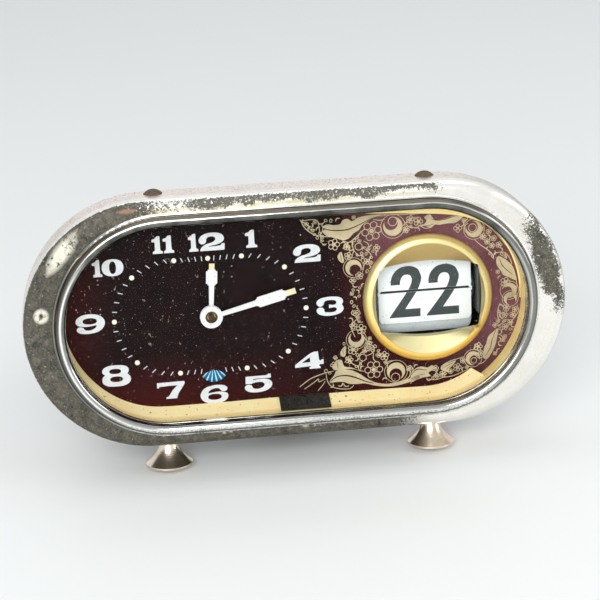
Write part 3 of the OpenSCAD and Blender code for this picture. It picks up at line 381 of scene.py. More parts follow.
def solid(regions, front, back, where, name):
    """Thin closed solid of flat regions, between two depths."""
    verts, faces = [], []
    for v, f in regions:
        if not len(f):
            continue
        used, new = np.unique(f, return_inverse=True)
        f = new.reshape(-1, 3)
        v = v[used]
        a, b, c = v[f[:, 0]], v[f[:, 1]], v[f[:, 2]]
        area = (b[:, 0] - a[:, 0]) * (c[:, 1] - a[:, 1]) - (b[:, 1] - a[:, 1]) * (c[:, 0] - a[:, 0])
        f[area < 0] = f[area < 0][:, ::-1]
        n0, n = len(verts), len(v)
        verts += [where(x, y, front) for x, y in v] + [where(x, y, back) for x, y in v]
        count = {}
        for t in f:
            for i in range(3):
                count[(t[i], t[(i + 1) % 3])] = 1
        for t in f:
            faces.append(tuple(int(i) + n0 for i in t))
            faces.append(tuple(int(i) + n0 + n for i in t[::-1]))
        for i, j in count:
            if (j, i) not in count:
                faces.append((int(i) + n0, int(i) + n0 + n, int(j) + n0 + n, int(j) + n0))
    mesh = new_mesh(name, verts, faces)
    mesh.validate()
    mesh.update()
    return mesh


def new_mesh(name, verts, faces):
    mesh = bpy.data.meshes.new(name)
    mesh.from_pydata([tuple(p) for p in verts], [], faces)
    mesh.update()
    return mesh


def piece(name, mesh, material, body, replaces=(), smooth=False):
    ob = show(name, mesh)
    mesh.materials.append(material)
    if smooth:
        mesh.shade_smooth()
    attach(ob, body)
    if replaces:
        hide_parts(*replaces)
    return ob


def printed(name, regions, material, proud, body="case", depth=DIAL, into=PRINT_IN, where=at):
    """Print that stands proud of the face at a depth and reaches a little into it."""
    return piece(name, solid(regions, depth - proud, depth + into, where, name), material, body)


def grid_mesh(rows, name, closed_u=False, closed_v=False):
    """Mesh of a grid of points, rows by columns."""
    nr, nc = len(rows), len(rows[0])
    faces = []
    for i in range(nr if closed_u else nr - 1):
        for j in range(nc if closed_v else nc - 1):
            a, b = i * nc + j, i * nc + (j + 1) % nc
            c, d = ((i + 1) % nr) * nc + (j + 1) % nc, ((i + 1) % nr) * nc + j
            faces.append((a, b, c, d))
    return new_mesh(name, [p for row in rows for p in row], faces)


def outward(mesh, fill=False):
    """Turns all faces outwards, after filling open ends where asked."""
    bm = bmesh.new()
    bm.from_mesh(mesh)
    if fill:
        bmesh.ops.holes_fill(bm, edges=bm.edges)
    bmesh.ops.recalc_face_normals(bm, faces=bm.faces)
    bm.to_mesh(mesh)
    bm.free()
    return mesh


# ------------ materials

def stadium_radius(m, half=CASE_S):
    """Distance from the spine of a stadium outline, in mm."""
    past = m.math("MAXIMUM", m.math("ABSOLUTE", m.along(RIGHT)) - half, 0.0)
    return m.length(past, m.along(UP))


def chrome_case():
    """Chrome, rubbed through and pitted on the left, along the edge above the glass and on the right end, with
    painted dark reflection on the left, below and along the right end's outer edge.
    """
    m = Mat("chrome_case")
    x, y, deep = m.along(RIGHT), m.along(UP), m.along(BACK)
    r = stadium_radius(m)
    wobble = (m.noise(7, 4, 0.6, 0.4, 3.1) - 0.5) * 9.0
    xw, yw, rw = x + wobble, y + wobble, r + wobble * 0.4
    # left: pitting on the left end, darkened further as painted dark reflection.
    left = m.span(xw, -24, -56) * m.span(deep, 2.6, 1.4) * m.span(r, 41.85, 41.5, 0.25, 1)
    band = m.span(xw, -56, -30, 0, 1) * m.span(xw, 52, 46, 0, 1)
    top = band * m.span(yw, 37.4, 39.4) * m.span(r, 41.9, 41.2, 0, 0.85)
    patch = m.spot(xw, yw, (83.3, 12.0), (18, 4.6), math.radians(-71)) * 0.95
    # low: painted dark reflection of the table along the bottom edge.
    low = m.span(yw, -36.4, -38.0) * m.span(xw, 44, 28)
    behind = m.span(deep, 2.6, 4) * 0.36
    dense = (left | top) | (patch | (low | behind))
    # Real pits, and on the left and below a painted dark reflection, both dark and not metal.
    pits_and_painted_dark = m.span(m.noise(0.62, 6, 0.74, 0.2, 8.0) + dense * 0.34, 0.655, 0.745)
    flaw = (m.noise(3, 4, 0.65, 0.6, 23.0) - 0.5) * 6.0
    bare = (m.spot(x + flaw, y + flaw, (-75.9, 26.6), (6.6, 2.3), math.radians(52))
            | m.spot(x, y, (-84.0, 6.2), (2.3, 2.4), 0.0, 0.2))
    bare = bare * m.span(m.noise(1.3, 4, 0.65, 0.3, 15.0), 0.38, 0.47)
    bare = bare * (1.0 - m.spot(x, y, (-84.0, 6.3), (0.7, 0.9)))
    grit = m.specks(1.3, 0.17, 2.0, 0.45) * m.span(m.noise(9, 3, 0.6, 0.5, 7.7), 0.42, 0.62, 0.1, 0.8)
    rust = m.spot(xw, y, (-54.4, 39.0), (2.4, 0.7)) * 0.45
    groove = m.span(rw, 40.4, 38.2) * m.span(x, 60, -10, 0.12, 1.0)
    groove = groove * m.span(m.noise(5, 4, 0.6, 0.3, 5.5), 0.34, 0.56, 0.25, 0.95)
    cloud = m.noise(16, 4, 0.55, 0.3, 1.0)
    color = m.mix(m.span(cloud, 0.35, 0.68, 0, 0.35), (244, 242, 238), (216, 211, 203))
    mottle = m.span(m.noise(0.7, 4, 0.7, 0, 2.0) * 0.5 + m.noise(3.2, 5, 0.65, 0.6, 12.0) * 0.5, 0.38, 0.62)
    dark = m.mix(mottle, (12, 11, 8), (100, 95, 80))
    # Over the base, low paints the dark reflection below, and the last layer paints a dark reflection along the right
    # end's outer edge.
    color = m.over(color, (m.span(deep, 2.6, 4, 0, 0.7), (240, 224, 214)), (groove, (196, 184, 134)),
                   (low, (66, 57, 47)), (pits_and_painted_dark, m.mix(top * 0.9, dark, (88, 86, 76))),
                   (bare * 0.92, (226, 222, 206)), (grit, (84, 78, 66)), (rust, (190, 138, 110)),
                   (m.span(r, 41.3, 41.9) * m.span(x, 62, 80, 0, 0.7), (96, 96, 92)))
    metal = (1.0 - pits_and_painted_dark) * (1.0 - bare * 0.8)
    rough = m.blend(pits_and_painted_dark, m.noise(4, 4, 0.6, 0, 4.0) * 0.24 + 0.12 + groove * 0.2, 0.6)
    height = (1.0 - pits_and_painted_dark) * 0.6 + m.noise(2.5, 3, 0.5, 0, 6.0) * 0.3
    return m.finish(color, rough, metal, m.bump(height, 0.03))


def chrome_ring():
    """Bright chrome in bands of grey across its width as painted reflection, with tarnish in the groove, painted dark
    reflection along its sides and darker mottling below.
    """
    m = Mat("chrome_ring")
    x, y = m.along(RIGHT), m.along(UP)
    c = stadium_radius(m, OPEN_S) - OPEN_R
    fine = m.noise(0.6, 5, 0.7, 0, 3.0)
    cloud = m.noise(7, 4, 0.55, 0.3, 1.0)
    cw = c + (cloud - 0.5) * 0.5
    groove = m.span(c, 2.95, 3.15) * m.span(c, 3.6, 3.35)
    # outer, side, inner and middle darken the chrome as painted dark reflection: outer on its outer part at the left,
    # inner on its inner part above and at the left, middle across its width on the right.
    outer = m.span(cw, 1.9, 2.3) * m.span(x, -50, -70, 0, 0.85)
    side = m.span(x, -54, -70) * m.span(y, -14, 2, 0, 0.7)
    inner = m.span(cw, 2.5, 2.1) * m.span(y, 16, 26, 0, 0.95) | m.span(cw, 1.6, 1.2) * side
    middle = (m.span(cw, 1.3, 1.6) * m.span(cw, 3.1, 2.7)) * (m.span(x, 58, 68, 0, 0.8) * m.span(y, 30, 20))
    # low: darker mottling towards the bottom.
    low = (m.span(fine + cloud * 0.3, 0.60, 0.74)
           * (m.span(y, -18, -28, 0.08, 0.75) * m.span(cw, 1.6, 2.2, 0.1, 1)))
    dull_and_painted_dark = outer | (middle | low)
    # Greys across the ring's width, a painted reflection of its curved profile, darker at the groove.
    bands = [(0.0, 205), (0.05, 116), (0.12, 140), (0.30, 188), (0.40, 234), (0.54, 240), (0.60, 140), (0.66, 112),
             (0.80, 150), (0.87, 226), (1.0, 236)]
    band_place = m.span(c + (cloud - 0.5) * 0.3, 0, 4.5)
    color = m.ramp(band_place, [(place, (v, v, v - 4)) for place, v in bands])
    pits = m.span(fine + cloud * 0.2, 0.73, 0.78)
    color = m.over(color, (dull_and_painted_dark, (88, 88, 84)),
                   (inner, m.mix(m.span(cloud, 0.35, 0.7), (54, 56, 52), (120, 120, 112))),
                   (groove * 0.85, (92, 76, 48)), (pits, (70, 62, 50)))
    rough = cloud * 0.10 + m.blend(dull_and_painted_dark, 0.06, 0.2)
    return m.finish(color, rough, 1.0 - pits * 0.6, m.bump(cloud * 0.5 + fine * 0.25, 0.010))


def ring_gold():
    """Polished gold of the calendar ring, in painted reflection: amber outside below, paler outside above, cream on
    the slopes below and darker gold on the slopes above.
    """
    m = Mat("gold_ring")
    x, y = m.along(RIGHT) - CAL_X, m.along(UP) - CAL_Y
    r = m.length(x, y)
    cloud, fine = m.noise(5, 4, 0.6, 0.3, 1.0), m.noise(0.7, 5, 0.7, 0, 3.0)
    yw = y + (cloud - 0.5) * 8
    # slope and outer change from bottom to top as painted reflection of the surroundings in the polished gold.
    slope = m.mix(m.span(yw, -3, 11), (212, 200, 152), (196, 168, 112))
    outer = m.mix(m.span(yw, -14, 2), (252, 204, 98), (246, 226, 158))
    past_crest = (r, 19.0, 19.5)
    spots = m.span(fine * 0.75 + cloud * 0.35, 0.73, 0.78)
    color = m.over(slope, (m.span(*past_crest), outer),
                   (m.span(r, 18.75, 19.0) * m.span(r, 19.3, 19.1) * 0.3, (160, 124, 70)),
                   (spots * 0.7, (120, 84, 40)))
    rough = cloud * 0.14 + m.blend(spots, m.span(*past_crest, 0.42, 0.27), 0.5)
    return m.finish(color, rough, 0.7, m.bump(cloud * 0.5 + fine * 0.3, 0.015))


def worn_metal(name, rgb, rough, spot, spots, grain, dent, metal=1.0):
    """Metal with cloudy roughness and a few dark spots."""
    m = Mat(name)
    cloud = m.noise(6, 4, 0.55, 0.2, 1.0)
    fine = m.noise(0.8, 5, 0.7, 0, 3.0)
    spotted = m.span(fine * 0.75 + cloud * 0.35, 0.80 - spots * 0.25, 0.86 - spots * 0.2)
    color = m.over(rgb, (m.span(cloud, 0.3, 0.7), tuple(c * 0.8 for c in rgb)), (spotted, spot))
    roughness = m.blend(spotted, cloud * (grain * 2) + (rough - grain), min(rough + 0.3, 0.9))
    level = metal - spotted * (metal * 0.6)
    return m.finish(color, roughness, level, m.bump(cloud * 0.4 + fine * 0.5, dent))


def painted(name, rgb, rough, second, specks, depth, scale=5.0):
    """Paint, plastic or paper with a little colour change and grain."""
    m = Mat(name)
    cloud = m.noise(scale, 4, 0.6, 0.2, 2.0)
    color = m.mix(m.span(cloud, 0.35, 0.7), rgb, second)
    if specks:
        color = m.mix(m.specks(1.1, 0.2, 4.0, 0.35), color, specks)
    return m.finish(color, cloud * 0.2 + (rough - 0.1), 0.0, m.bump(m.noise(0.35, 3, 0.6, 0, 7.0), depth))


def dial_material():
    m = Mat("dial_print")
    x, y = m.along(RIGHT), m.along(UP)
    cloud = m.noise(9, 4, 0.6, 0.3, 2.0)
    left = m.mix(m.span(cloud, 0.4, 0.75), (18, 7, 8), (28, 10, 11))
    # low: reddening towards the bottom and the left end, a painted reflection on the black-maroon lacquer.
    low = m.span(y, -12, -31) | m.span(x, -60, -76) * 0.6
    left = m.over(left, (low * m.span(x, 20, -50, 0.2, 0.9), (64, 14, 11)), (m.span(x, 12, 22) * 0.6, (60, 15, 18)))
    right = m.mix(m.span(cloud, 0.35, 0.7), (118, 78, 84), (98, 58, 64))
    # The dial's plum tone round the calendar, its lightening towards the upper right a painted sheen.
    plum = m.span(x + y * 1.2 + cloud * 6, 20, 62) * m.span(x, 16, 28)
    dust = m.specks(0.9, 0.14, 1.0, 0.22) * m.span(m.noise(14, 2, 0.5, 0, 9.0), 0.4, 0.6, 0.1, 0.8)
    haze = m.span(m.noise(5, 6, 0.7, 1.0, 21.0), 0.56, 0.72) * 0.04
    scratch = m.span(m.noise(2.2, 2, 0.5, 2.5, 31.0, (1.0, 3.0, 0.35)), 0.693, 0.70)
    color = m.over(left, (plum, right), (dust | m.specks(2.6, 0.3, 6.0, 0.16) * 0.7, (206, 186, 180)),
                   (haze, (132, 90, 90)), (scratch * 0.35, (190, 160, 156)))
    grain = m.bump(m.noise(0.6, 3, 0.6, 0, 5.0), 0.004)
    return m.finish(color, cloud * 0.2 + 0.35, 0.0, grain, {"Specular IOR Level": 0.08})


def glass_material():
    """Thin clear glass with a faint reflection and a little dust."""
    m = Mat("glass")
    clear = m.value("BsdfTransparent", (0.985, 0.992, 0.99, 1))
    gloss = m.value("BsdfGlossy", inputs={"Roughness": 0.04})
    clean = m.value("MixShader", m.value("Fresnel", inputs={"IOR": 1.06}), clear, gloss)
    dust = m.value("BsdfDiffuse", (215, 208, 200))
    m.use(m.value("MixShader", m.specks(2.4, 0.2, 3.0, 0.4) * 0.45, clean, dust))
    return m.mat


def indicator_material():
    m = Mat("indicator_print")
    axis = Vector(JOINTS["fourth_wheel_turn"]["pos_m"])
    angle = m.math("ARCTAN2", m.along(UP, axis), m.along(RIGHT, axis))
    wave = m.math("SINE", angle * 21.0) * 0.5 + 0.5
    wave = wave + (m.noise(1.2, 2, 0.5, 0, 1.0) - 0.5) * 0.5
    color = m.ramp(wave, [(0.36, (4, 84, 126)), (0.62, (10, 138, 186)), (0.84, (40, 180, 218)),
                          (0.97, (204, 240, 250))])
    return m.finish(color, 0.35, 0.0, m.bump(wave, 0.01))


def paper_material():
    m = Mat("cream_paper")
    cloud = m.noise(7, 4, 0.6, 0.2, 2.0)
    color = m.mix(m.span(cloud, 0.35, 0.75), (255, 237, 182), (253, 224, 160))
    dots = m.specks(1.3, 0.24, 4.0, 0.5) | m.specks(3.0, 0.5, 9.0, 0.4)
    stain = m.span(m.noise(1.4, 5, 0.7, 0.5, 6.0), 0.62, 0.74) * 0.4
    color = m.over(color, (m.span(m.along(BACK), 3.6, 2.4, 0, 0.5), (206, 160, 92)),
                   (dots * 0.8, (110, 76, 42)), (stain, (190, 146, 88)))
    height = m.noise(3, 3, 0.5, 0, 3.0) * 0.7 + m.noise(0.3, 2, 0.5, 0, 8.0) * 0.3
    return m.finish(color, 0.7, 0.0, m.bump(height, 0.06))


def tape_material():
    m = Mat("black_tape")
    fine = m.noise(1.1, 5, 0.7, 0.6, 2.0)
    color = m.mix(m.span(fine, 0.4, 0.75), (26, 25, 24), (66, 63, 58))
    color = m.mix(m.specks(0.9, 0.15, 3.0, 0.6) * 0.7, color, (168, 158, 142))
    return m.finish(color, m.span(fine, 0.3, 0.8, 0.22, 0.5), 0.0, m.bump(fine, 0.06))


# Colour, roughness, second colour, colour of the specks, depth of the grain and size of the clouds.
PAINTS = {
    "gold_wall": ((255, 238, 172), 0.45, (255, 226, 150), (206, 156, 84), 0.012),
    "dark_steel": ((58, 61, 58), 0.45, (42, 44, 42), (110, 100, 84), 0.012),
    "white_enamel": ((234, 232, 233), 0.38, (222, 220, 222), (120, 116, 104), 0.004),
    "leaf_card": ((252, 254, 253), 0.5, (246, 250, 249), (150, 146, 132), 0.008),
    # The stacked leaves' edges: the leaf card darkened as painted shade between the leaves.
    "leaf_edges_painted_shade": ((206, 214, 214), 0.5, (188, 197, 198), (140, 136, 122), 0.008),
    "black_plastic": ((36, 37, 38), 0.35, (28, 29, 30), (96, 94, 88), 0.008),
    "numeral_print": ((222, 224, 226), 0.45, (208, 210, 214), (150, 156, 150), 0.003, 2.0),
    "cream_print": ((244, 238, 218), 0.5, (230, 220, 192), None, 0.003, 1.0),
    "cream_tip": ((236, 226, 188), 0.5, (218, 204, 160), None, 0.004, 2.0),
    "digit_print": ((56, 66, 66), 0.5, (44, 52, 54), (120, 126, 122), 0.003, 2.0),
}
# Colour, roughness, colour and share of the spots, grain, depth of the dents and share of metal.
METALS = {
    "foot_brass": ((244, 228, 208), 0.22, (124, 98, 72), 0.45, 0.1, 0.015),
    "screw_steel": ((122, 106, 86), 0.55, (78, 58, 38), 0.9, 0.1, 0.06),
    "steel": ((188, 188, 186), 0.3, (120, 112, 100), 0.1, 0.1, 0.004),
    "blued_steel": ((62, 78, 128), 0.26, (40, 44, 66), 0.1, 0.1, 0.003),
    "brass": ((222, 184, 106), 0.28, (150, 112, 52), 0.12, 0.1, 0.005),
    "ornament_print": ((210, 192, 154), 0.45, (140, 116, 84), 0.1, 0.08, 0.002, 0.15),
    "dark_brass": ((78, 66, 50), 0.45, (38, 32, 26), 0.5, 0.1, 0.01, 0.8),
}
MATS = {
    "chrome_case": chrome_case(), "chrome_ring": chrome_ring(), "glass": glass_material(),
    "cream_paper": paper_material(), "black_tape": tape_material(), "dial_print": dial_material(),
    "gold_ring": ring_gold(), "indicator_print": indicator_material(),
    **{name: painted(name, *spec) for name, spec in PAINTS.items()},
    **{name: worn_metal(name, *spec) for name, spec in METALS.items()},
}
# CAD nodes whose material isn't that of their slot.
# The leaf stack takes the painted-shade copy of the leaf card.
OWN = {"centre_arbor": "dark_brass", "leaf_stack": "leaf_edges_painted_shade"}
for part in frame["record"]["subparts"]:
    slots = NODES[part["node"]].data.materials
    slots.clear()
    slots.append(MATS[OWN.get(part["node"], part["material_slot"])])


# ------------ dial print

# Plain wide slab numerals, 100 high.
GLYPHS = {
    "0": ([oval(60, 50, 60, 50, 40, 2.3)], [oval(60, 50, 19, 37, 32, 2.2)]),
    "1": ([shape(4, 0, C, 56, 0, C, 56, 12, C, 47, 16, C, 44, 22, 43, 60, 43, 98, C, 40, 100, C, 26, 98, 18, 88, 2,
         82, 0, 76, 1, 67, C, 14, 67, C, 16, 60, 15, 22, 12, 16, C, 4, 12, C)], []),
    "2": ([shape(5, 0, C, 132, 0, C, 136, 5, C, 137, 37, C, 122, 37, C, 117, 28, 98, 24, 70, 23, 48, 21, C, 62, 27,
         88, 31, 114, 39, 131, 52, 135, 66, 127, 84, 106, 96, 75, 100, 42, 97, 15, 85, 1, 66, 1, 52, 8, 42, 20, 38,
         33, 43, 39, 53, 40, 66, C, 49, 75, 66, 79, 82, 76, 89, 66, 84, 54, 66, 44, 40, 37, 20, 26, 9, 13)], []),
    "3": ([shape(0, 70, 6, 84, 22, 94, 50, 100, 88, 100, 115, 95, 130, 83, 132, 69, 126, 56, C, 132, 45, 134, 32,
         124, 16, 100, 5, 64, 0, 35, 3, 10, 12, 0, 27, 3, 40, 15, 47, 29, 45, 37, 36, 38, 27, 45, 20, 66, 18, 88,
         20, 99, 28, 99, 37, 91, 43, 76, 43, 62, 40, C, 62, 60, C, 76, 57, 91, 58, 99, 66, 97, 76, 84, 82, 60, 83,
         44, 79, 37, 70, 33, 58, 22, 52, 9, 55)], []),
    "4": ([shape(0, 12, C, 0, 28, C, 40, 62, 75, 90, 94, 99, C, 114, 100, C, 118, 52, C, 124, 43, C, 132, 52, C,
         140, 52, C, 140, 24, C, 120, 24, C, 118, 14, C, 125, 8, C, 124, 0, C, 70, 0, C, 70, 8, C, 78, 13, C, 77,
         16, C)], [shape(32, 38, C, 73, 69, C, 76, 40, C)]),
    "5": ([shape(6, 92, C, 106, 93, C, 116, 99, C, 126, 100, C, 127, 78, C, 117, 77, C, 80, 78, 40, 77, C, 40, 71,
         C, 66, 74, 98, 74, 122, 64, 132, 47, 125, 24, 100, 7, 60, 0, 24, 4, 4, 17, 0, 30, 5, 41, 17, 46, 30, 43,
         36, 34, 38, 27, 48, 21, 66, 20, 86, 27, 95, 40, 90, 52, 74, 58, 50, 56, 31, 50, C, 4, 51, C)], []),
    "7": ([shape(0, 98, C, 134, 100, C, 136, 88, 124, 64, 104, 30, 97, 12, 96, 0, C, 43, 0, C, 42, 9, C, 52, 12, 60,
         22, 74, 47, 90, 66, 100, 77, C, 60, 77, 26, 75, 12, 74, 9, 67, C, 0, 67, C)], []),
    "8": ([shape(65, 100, 100, 97, 119, 87, 123, 72, 116, 57, C, 127, 46, 131, 30, 120, 12, 95, 2, 62, 0, 26, 3, 5,
         15, 0, 32, 4, 46, 14, 56, C, 3, 66, 4, 81, 18, 93, 40, 99)], [oval(61, 71, 27, 12, 28, 2.4), oval(65, 34,
         29, 13, 28, 2.4)]),
    "9": ([shape(70, 100, 100, 94, 122, 77, 130, 52, 119, 25, 94, 7, 54, 0, 20, 4, 4, 16, 4, 28, 13, 36, 25, 36, 34,
         30, 38, 23, 46, 18, 60, 17, 78, 23, 90, 33, 93, 43, C, 70, 39, 46, 37, 26, 39, 7, 46, 0, 60, 5, 78, 22, 92,
         44, 99)], [oval(63, 64, 32, 16, 32, 2.3)]),
}
GLYPHS["6"] = tuple([np.array([130, 100]) - o for o in part] for part in GLYPHS["9"])

# Each numeral: glyph, left, right, foot and top on the dial.
NUMERALS = [
    ("1", -34.5, -31.3, 22.0, 28.0), ("2", -31.05, -22.55, 21.95, 28.0),
    ("1", -15.7, -11.8, 22.0, 28.0), ("2", 0.0, 9.15, 15.7, 21.75), ("3", 7.05, 16.2, -3.4, 3.2),
    ("4", -1.0, 8.7, -21.45, -15.5), ("5", -18.3, -9.0, -28.25, -22.0), ("6", -33.35, -24.0, -31.0, -24.5),
    ("7", -47.7, -38.4, -28.05, -22.2), ("8", -65.7, -56.15, -22.3, -14.9), ("9", -73.1, -63.5, -3.4, 3.3),
    ("1", -66.4, -63.25, 15.7, 21.5), ("0", -63.3, -56.2, 15.65, 21.4),
    ("1", -46.5, -43.0, 22.15, 28.05), ("1", -42.85, -39.25, 22.15, 28.05),
]
TICK, TICK_HALF = 0.80, 0.125
NO_TICK = (29, 31)                  # minutes above the indicator window


def fit_glyph(char, x0, x1, y0, y1):
    adds, cuts = GLYPHS[char]
    lo = np.min([o.min(0) for o in adds], axis=0)
    hi = np.max([o.max(0) for o in adds], axis=0)
    scale = np.array([x1 - x0, y1 - y0]) / (hi - lo)
    return [[(o - lo) * scale + [x0, y0] for o in part] for part in (adds, cuts)]


def track(angle, radius=19.4, half=12.57):
    """Point of the minute track, which runs round a stadium."""
    dx, dy = math.sin(angle), math.cos(angle)
    if abs(dy) > 1e-9 and abs(radius * dx / dy) <= half:
        k = radius / abs(dy)
    else:
        b = abs(dx) * half
        k = b + math.sqrt(max(b * b - (half * half - radius * radius), 0))
    return np.array([HANDS_X + dx * k, dy * k])


def make_dial_print():
    printed("numerals", [region(*fit_glyph(*n)) for n in NUMERALS], MATS["numeral_print"], 0.04)
    dots = [region([oval(*track(math.radians(30 * h)), 0.82, n=24)]) for h in range(12) if h != 6]
    printed("hour_dots", dots, MATS["cream_print"], 0.07)
    ticks = []
    for minute in range(60):
        if minute % 5 and minute not in NO_TICK:
            a = math.radians(6 * minute)
            p = track(a)
            u = np.array([math.sin(a), math.cos(a)])
            v = np.array([u[1], -u[0]])
            quad = [p + u * i * TICK + v * j * TICK_HALF for i, j in ((1, 1), (1, -1), (-1, -1), (-1, 1))]
            ticks.append(region([np.array(quad)]))
    printed("minute_ticks", ticks, MATS["numeral_print"], 0.03)


# ------------ ornament round the calendar

# Leaves: outline, then their veins as width and points. Crescents: place, radius, way of the opening.
# Flowers: place, radius, petals, turn. Ringlets: place, radius. Stems: width and points.
# Outlines and points are in tenths of a mm, the rest is in mm and degrees.
LEAVES = [
    ([100, 257, 112, 243, 132, 235, 153, 228, 170, 222, 189, 229, 205, 244, 223, 254, 234, 269, 252, 281, 273, 291,
     309, 296, 322, 299, 284, 302, 253, 301, 222, 296, 201, 285, 186, 294, 170, 291, 160, 278, 139, 276, 121, 280,
     106, 277, 103, 271, 109, 263, 103, 260], [(0.42, [98, 285, 104, 269, 123, 261, 149, 257, 185, 258, 221, 270,
     252, 284, 278, 293, 307, 298])]),
    ([151, 175, 161, 183, 166, 168, 169, 152, 165, 145, 155, 151, 148, 164], [(0.21, [158, 177, 159, 163, 163,
     150])]),
    ([426, 254, 445, 260, 451, 272, 443, 281, 463, 290, 479, 270, 513, 272, 547, 281, 575, 284, 589, 279, 575, 274,
     564, 264, 546, 255, 527, 255, 510, 254, 493, 252, 479, 254, 465, 244, 448, 250], [(0.34, [465, 274, 488, 268,
     516, 270, 541, 277, 567, 281]), (0.25, [437, 252, 456, 251, 476, 257])]),
    ([694, 130, 685, 115, 689, 95, 702, 76, 707, 64, 727, 54, 753, 41, 751, 61, 745, 82, 739, 94, 722, 112], [(0.34,
     [696, 121, 708, 93, 739, 63])]),
    ([106, -269, 109, -258, 122, -243, 128, -230, 152, -225, 183, -232, 211, -248, 234, -266, 265, -282, 304, -289,
     344, -284, 384, -275, 413, -264, 413, -276, 370, -291, 317, -299, 265, -293, 226, -281, 197, -281, 171, -278,
     153, -270, 129, -268], [(0.52, [108, -264, 130, -250, 161, -248, 192, -257, 226, -273, 254, -283])]),
    ([117, -218, 129, -194, 148, -192, 157, -215, 183, -222, 211, -237, 188, -227, 152, -225, 128, -227], [(0.24,
     [132, -198, 136, -220])]),
    ([145, -167, 154, -151, 165, -144, 164, -163, 161, -179, 151, -180], [(0.21, [154, -156, 155, -175])]),
    ([688, -124, 670, -134, 653, -150, 647, -171, 638, -190, 634, -222, 649, -227, 662, -211, 676, -184, 683, -158],
     [(0.31, [680, -129, 667, -159, 660, -189, 642, -218])]),
    ([383, -267, 397, -245, 418, -237, 442, -242, 458, -235, 463, -249, 444, -261, 452, -273, 428, -276, 404, -282,
     385, -289], [(0.34, [385, -263, 405, -246, 437, -251]), (0.24, [388, -284, 412, -268, 434, -264])]),
    ([487, -251, 500, -236, 519, -230, 540, -225, 529, -241, 518, -251, 513, -264, 500, -260], [(0.21, [495, -249,
     513, -239, 529, -233]), (0.18, [505, -255, 519, -245])]),
]
CRESCENTS = [
    (33.7, 25.8, 3.26, 120), (20, 12.6, 2.74, -60), (61.1, 22.9, 2.83, 130), (72.9, 0.8, 2.55, 200),
    (20.1, -12.4, 2.74, 95), (33.3, -24.7, 3.13, -95), (73.1, -2.1, 2.22, -70), (59.9, -22.2, 2.48, -50),
]
FLOWERS = [
    (26.5, 24.7, 3.92, 6, 10), (13.7, 21, 2.22, 5, 0), (38.1, 24.3, 1.31, 5, 0), (21.9, 9.7, 1.51, 5, 20),
    (28, 18.9, 1.18, 4, 0), (19.6, 8.2, 1.18, 4, 0), (18.4, 16.7, 1.57, 5, 0), (39.6, 27.7, 1.57, 5, 0),
    (24.5, 14.4, 1.18, 4, 30), (9.7, 22.6, 0.68, 3, 0), (18, 19.9, 1.31, 5, 0), (42.3, 26.8, 1.75, 5, 0),
    (55.6, 23.6, 1.47, 4, 0), (64.1, 20.1, 1.27, 5, 0), (65.5, 18.3, 1.19, 5, 20), (66.1, 21.7, 1.13, 5, 0),
    (67.8, 19.3, 1.19, 5, 0), (69.5, 16.9, 1.27, 5, 0), (67.2, 16.8, 1.13, 5, 0), (71.5, 3.8, 1.92, 5, 0),
    (63.9, 23, 0.85, 4, 0), (21.9, -8.9, 1.96, 5, 20), (19.3, -7.4, 1.31, 4, 0), (18.8, -15.9, 1.96, 5, 0),
    (29.5, -18.9, 1.78, 5, 15), (27.5, -18.4, 0.99, 4, 0), (25.7, -23.5, 3.66, 6, 0), (17.4, -19.3, 1.57, 5, 0),
    (37.9, -24, 1.25, 5, 0), (24.3, -14.2, 1.04, 4, 0), (12.1, -20.8, 1.18, 4, 0), (71.8, -5.2, 1.44, 5, 0),
    (71.2, -7.6, 1.31, 5, 0), (73.9, -7.8, 1.25, 5, 0), (74.7, -6, 1.18, 5, 0), (71.2, -11.9, 1.31, 5, 0),
    (73, -10.5, 1.18, 5, 0), (67.7, -11.1, 0.89, 4, 0), (61.8, -18.2, 1.62, 5, 0), (62.8, -20.5, 1.04, 4, 0),
    (56.4, -22.7, 1.18, 5, 0), (54.4, -25, 1.62, 5, 0), (49.4, -26.9, 1.36, 5, 0), (52.1, -26.2, 1.04, 5, 0),
    (46.8, -24.7, 1.31, 5, 0), (47.3, -27.4, 1.04, 4, 0), (20.3, -3.1, 1.1, 4, 45),
]
RINGLETS = [
    (22, 19.7, 1.31), (22.1, -18.9, 1.31), (33.7, 27.5, 1.62), (33.1, -26.8, 1.57), (60.6, 23.4, 1.47),
    (60.2, -23, 1.1), (70.2, -7.8, 0.99),
]
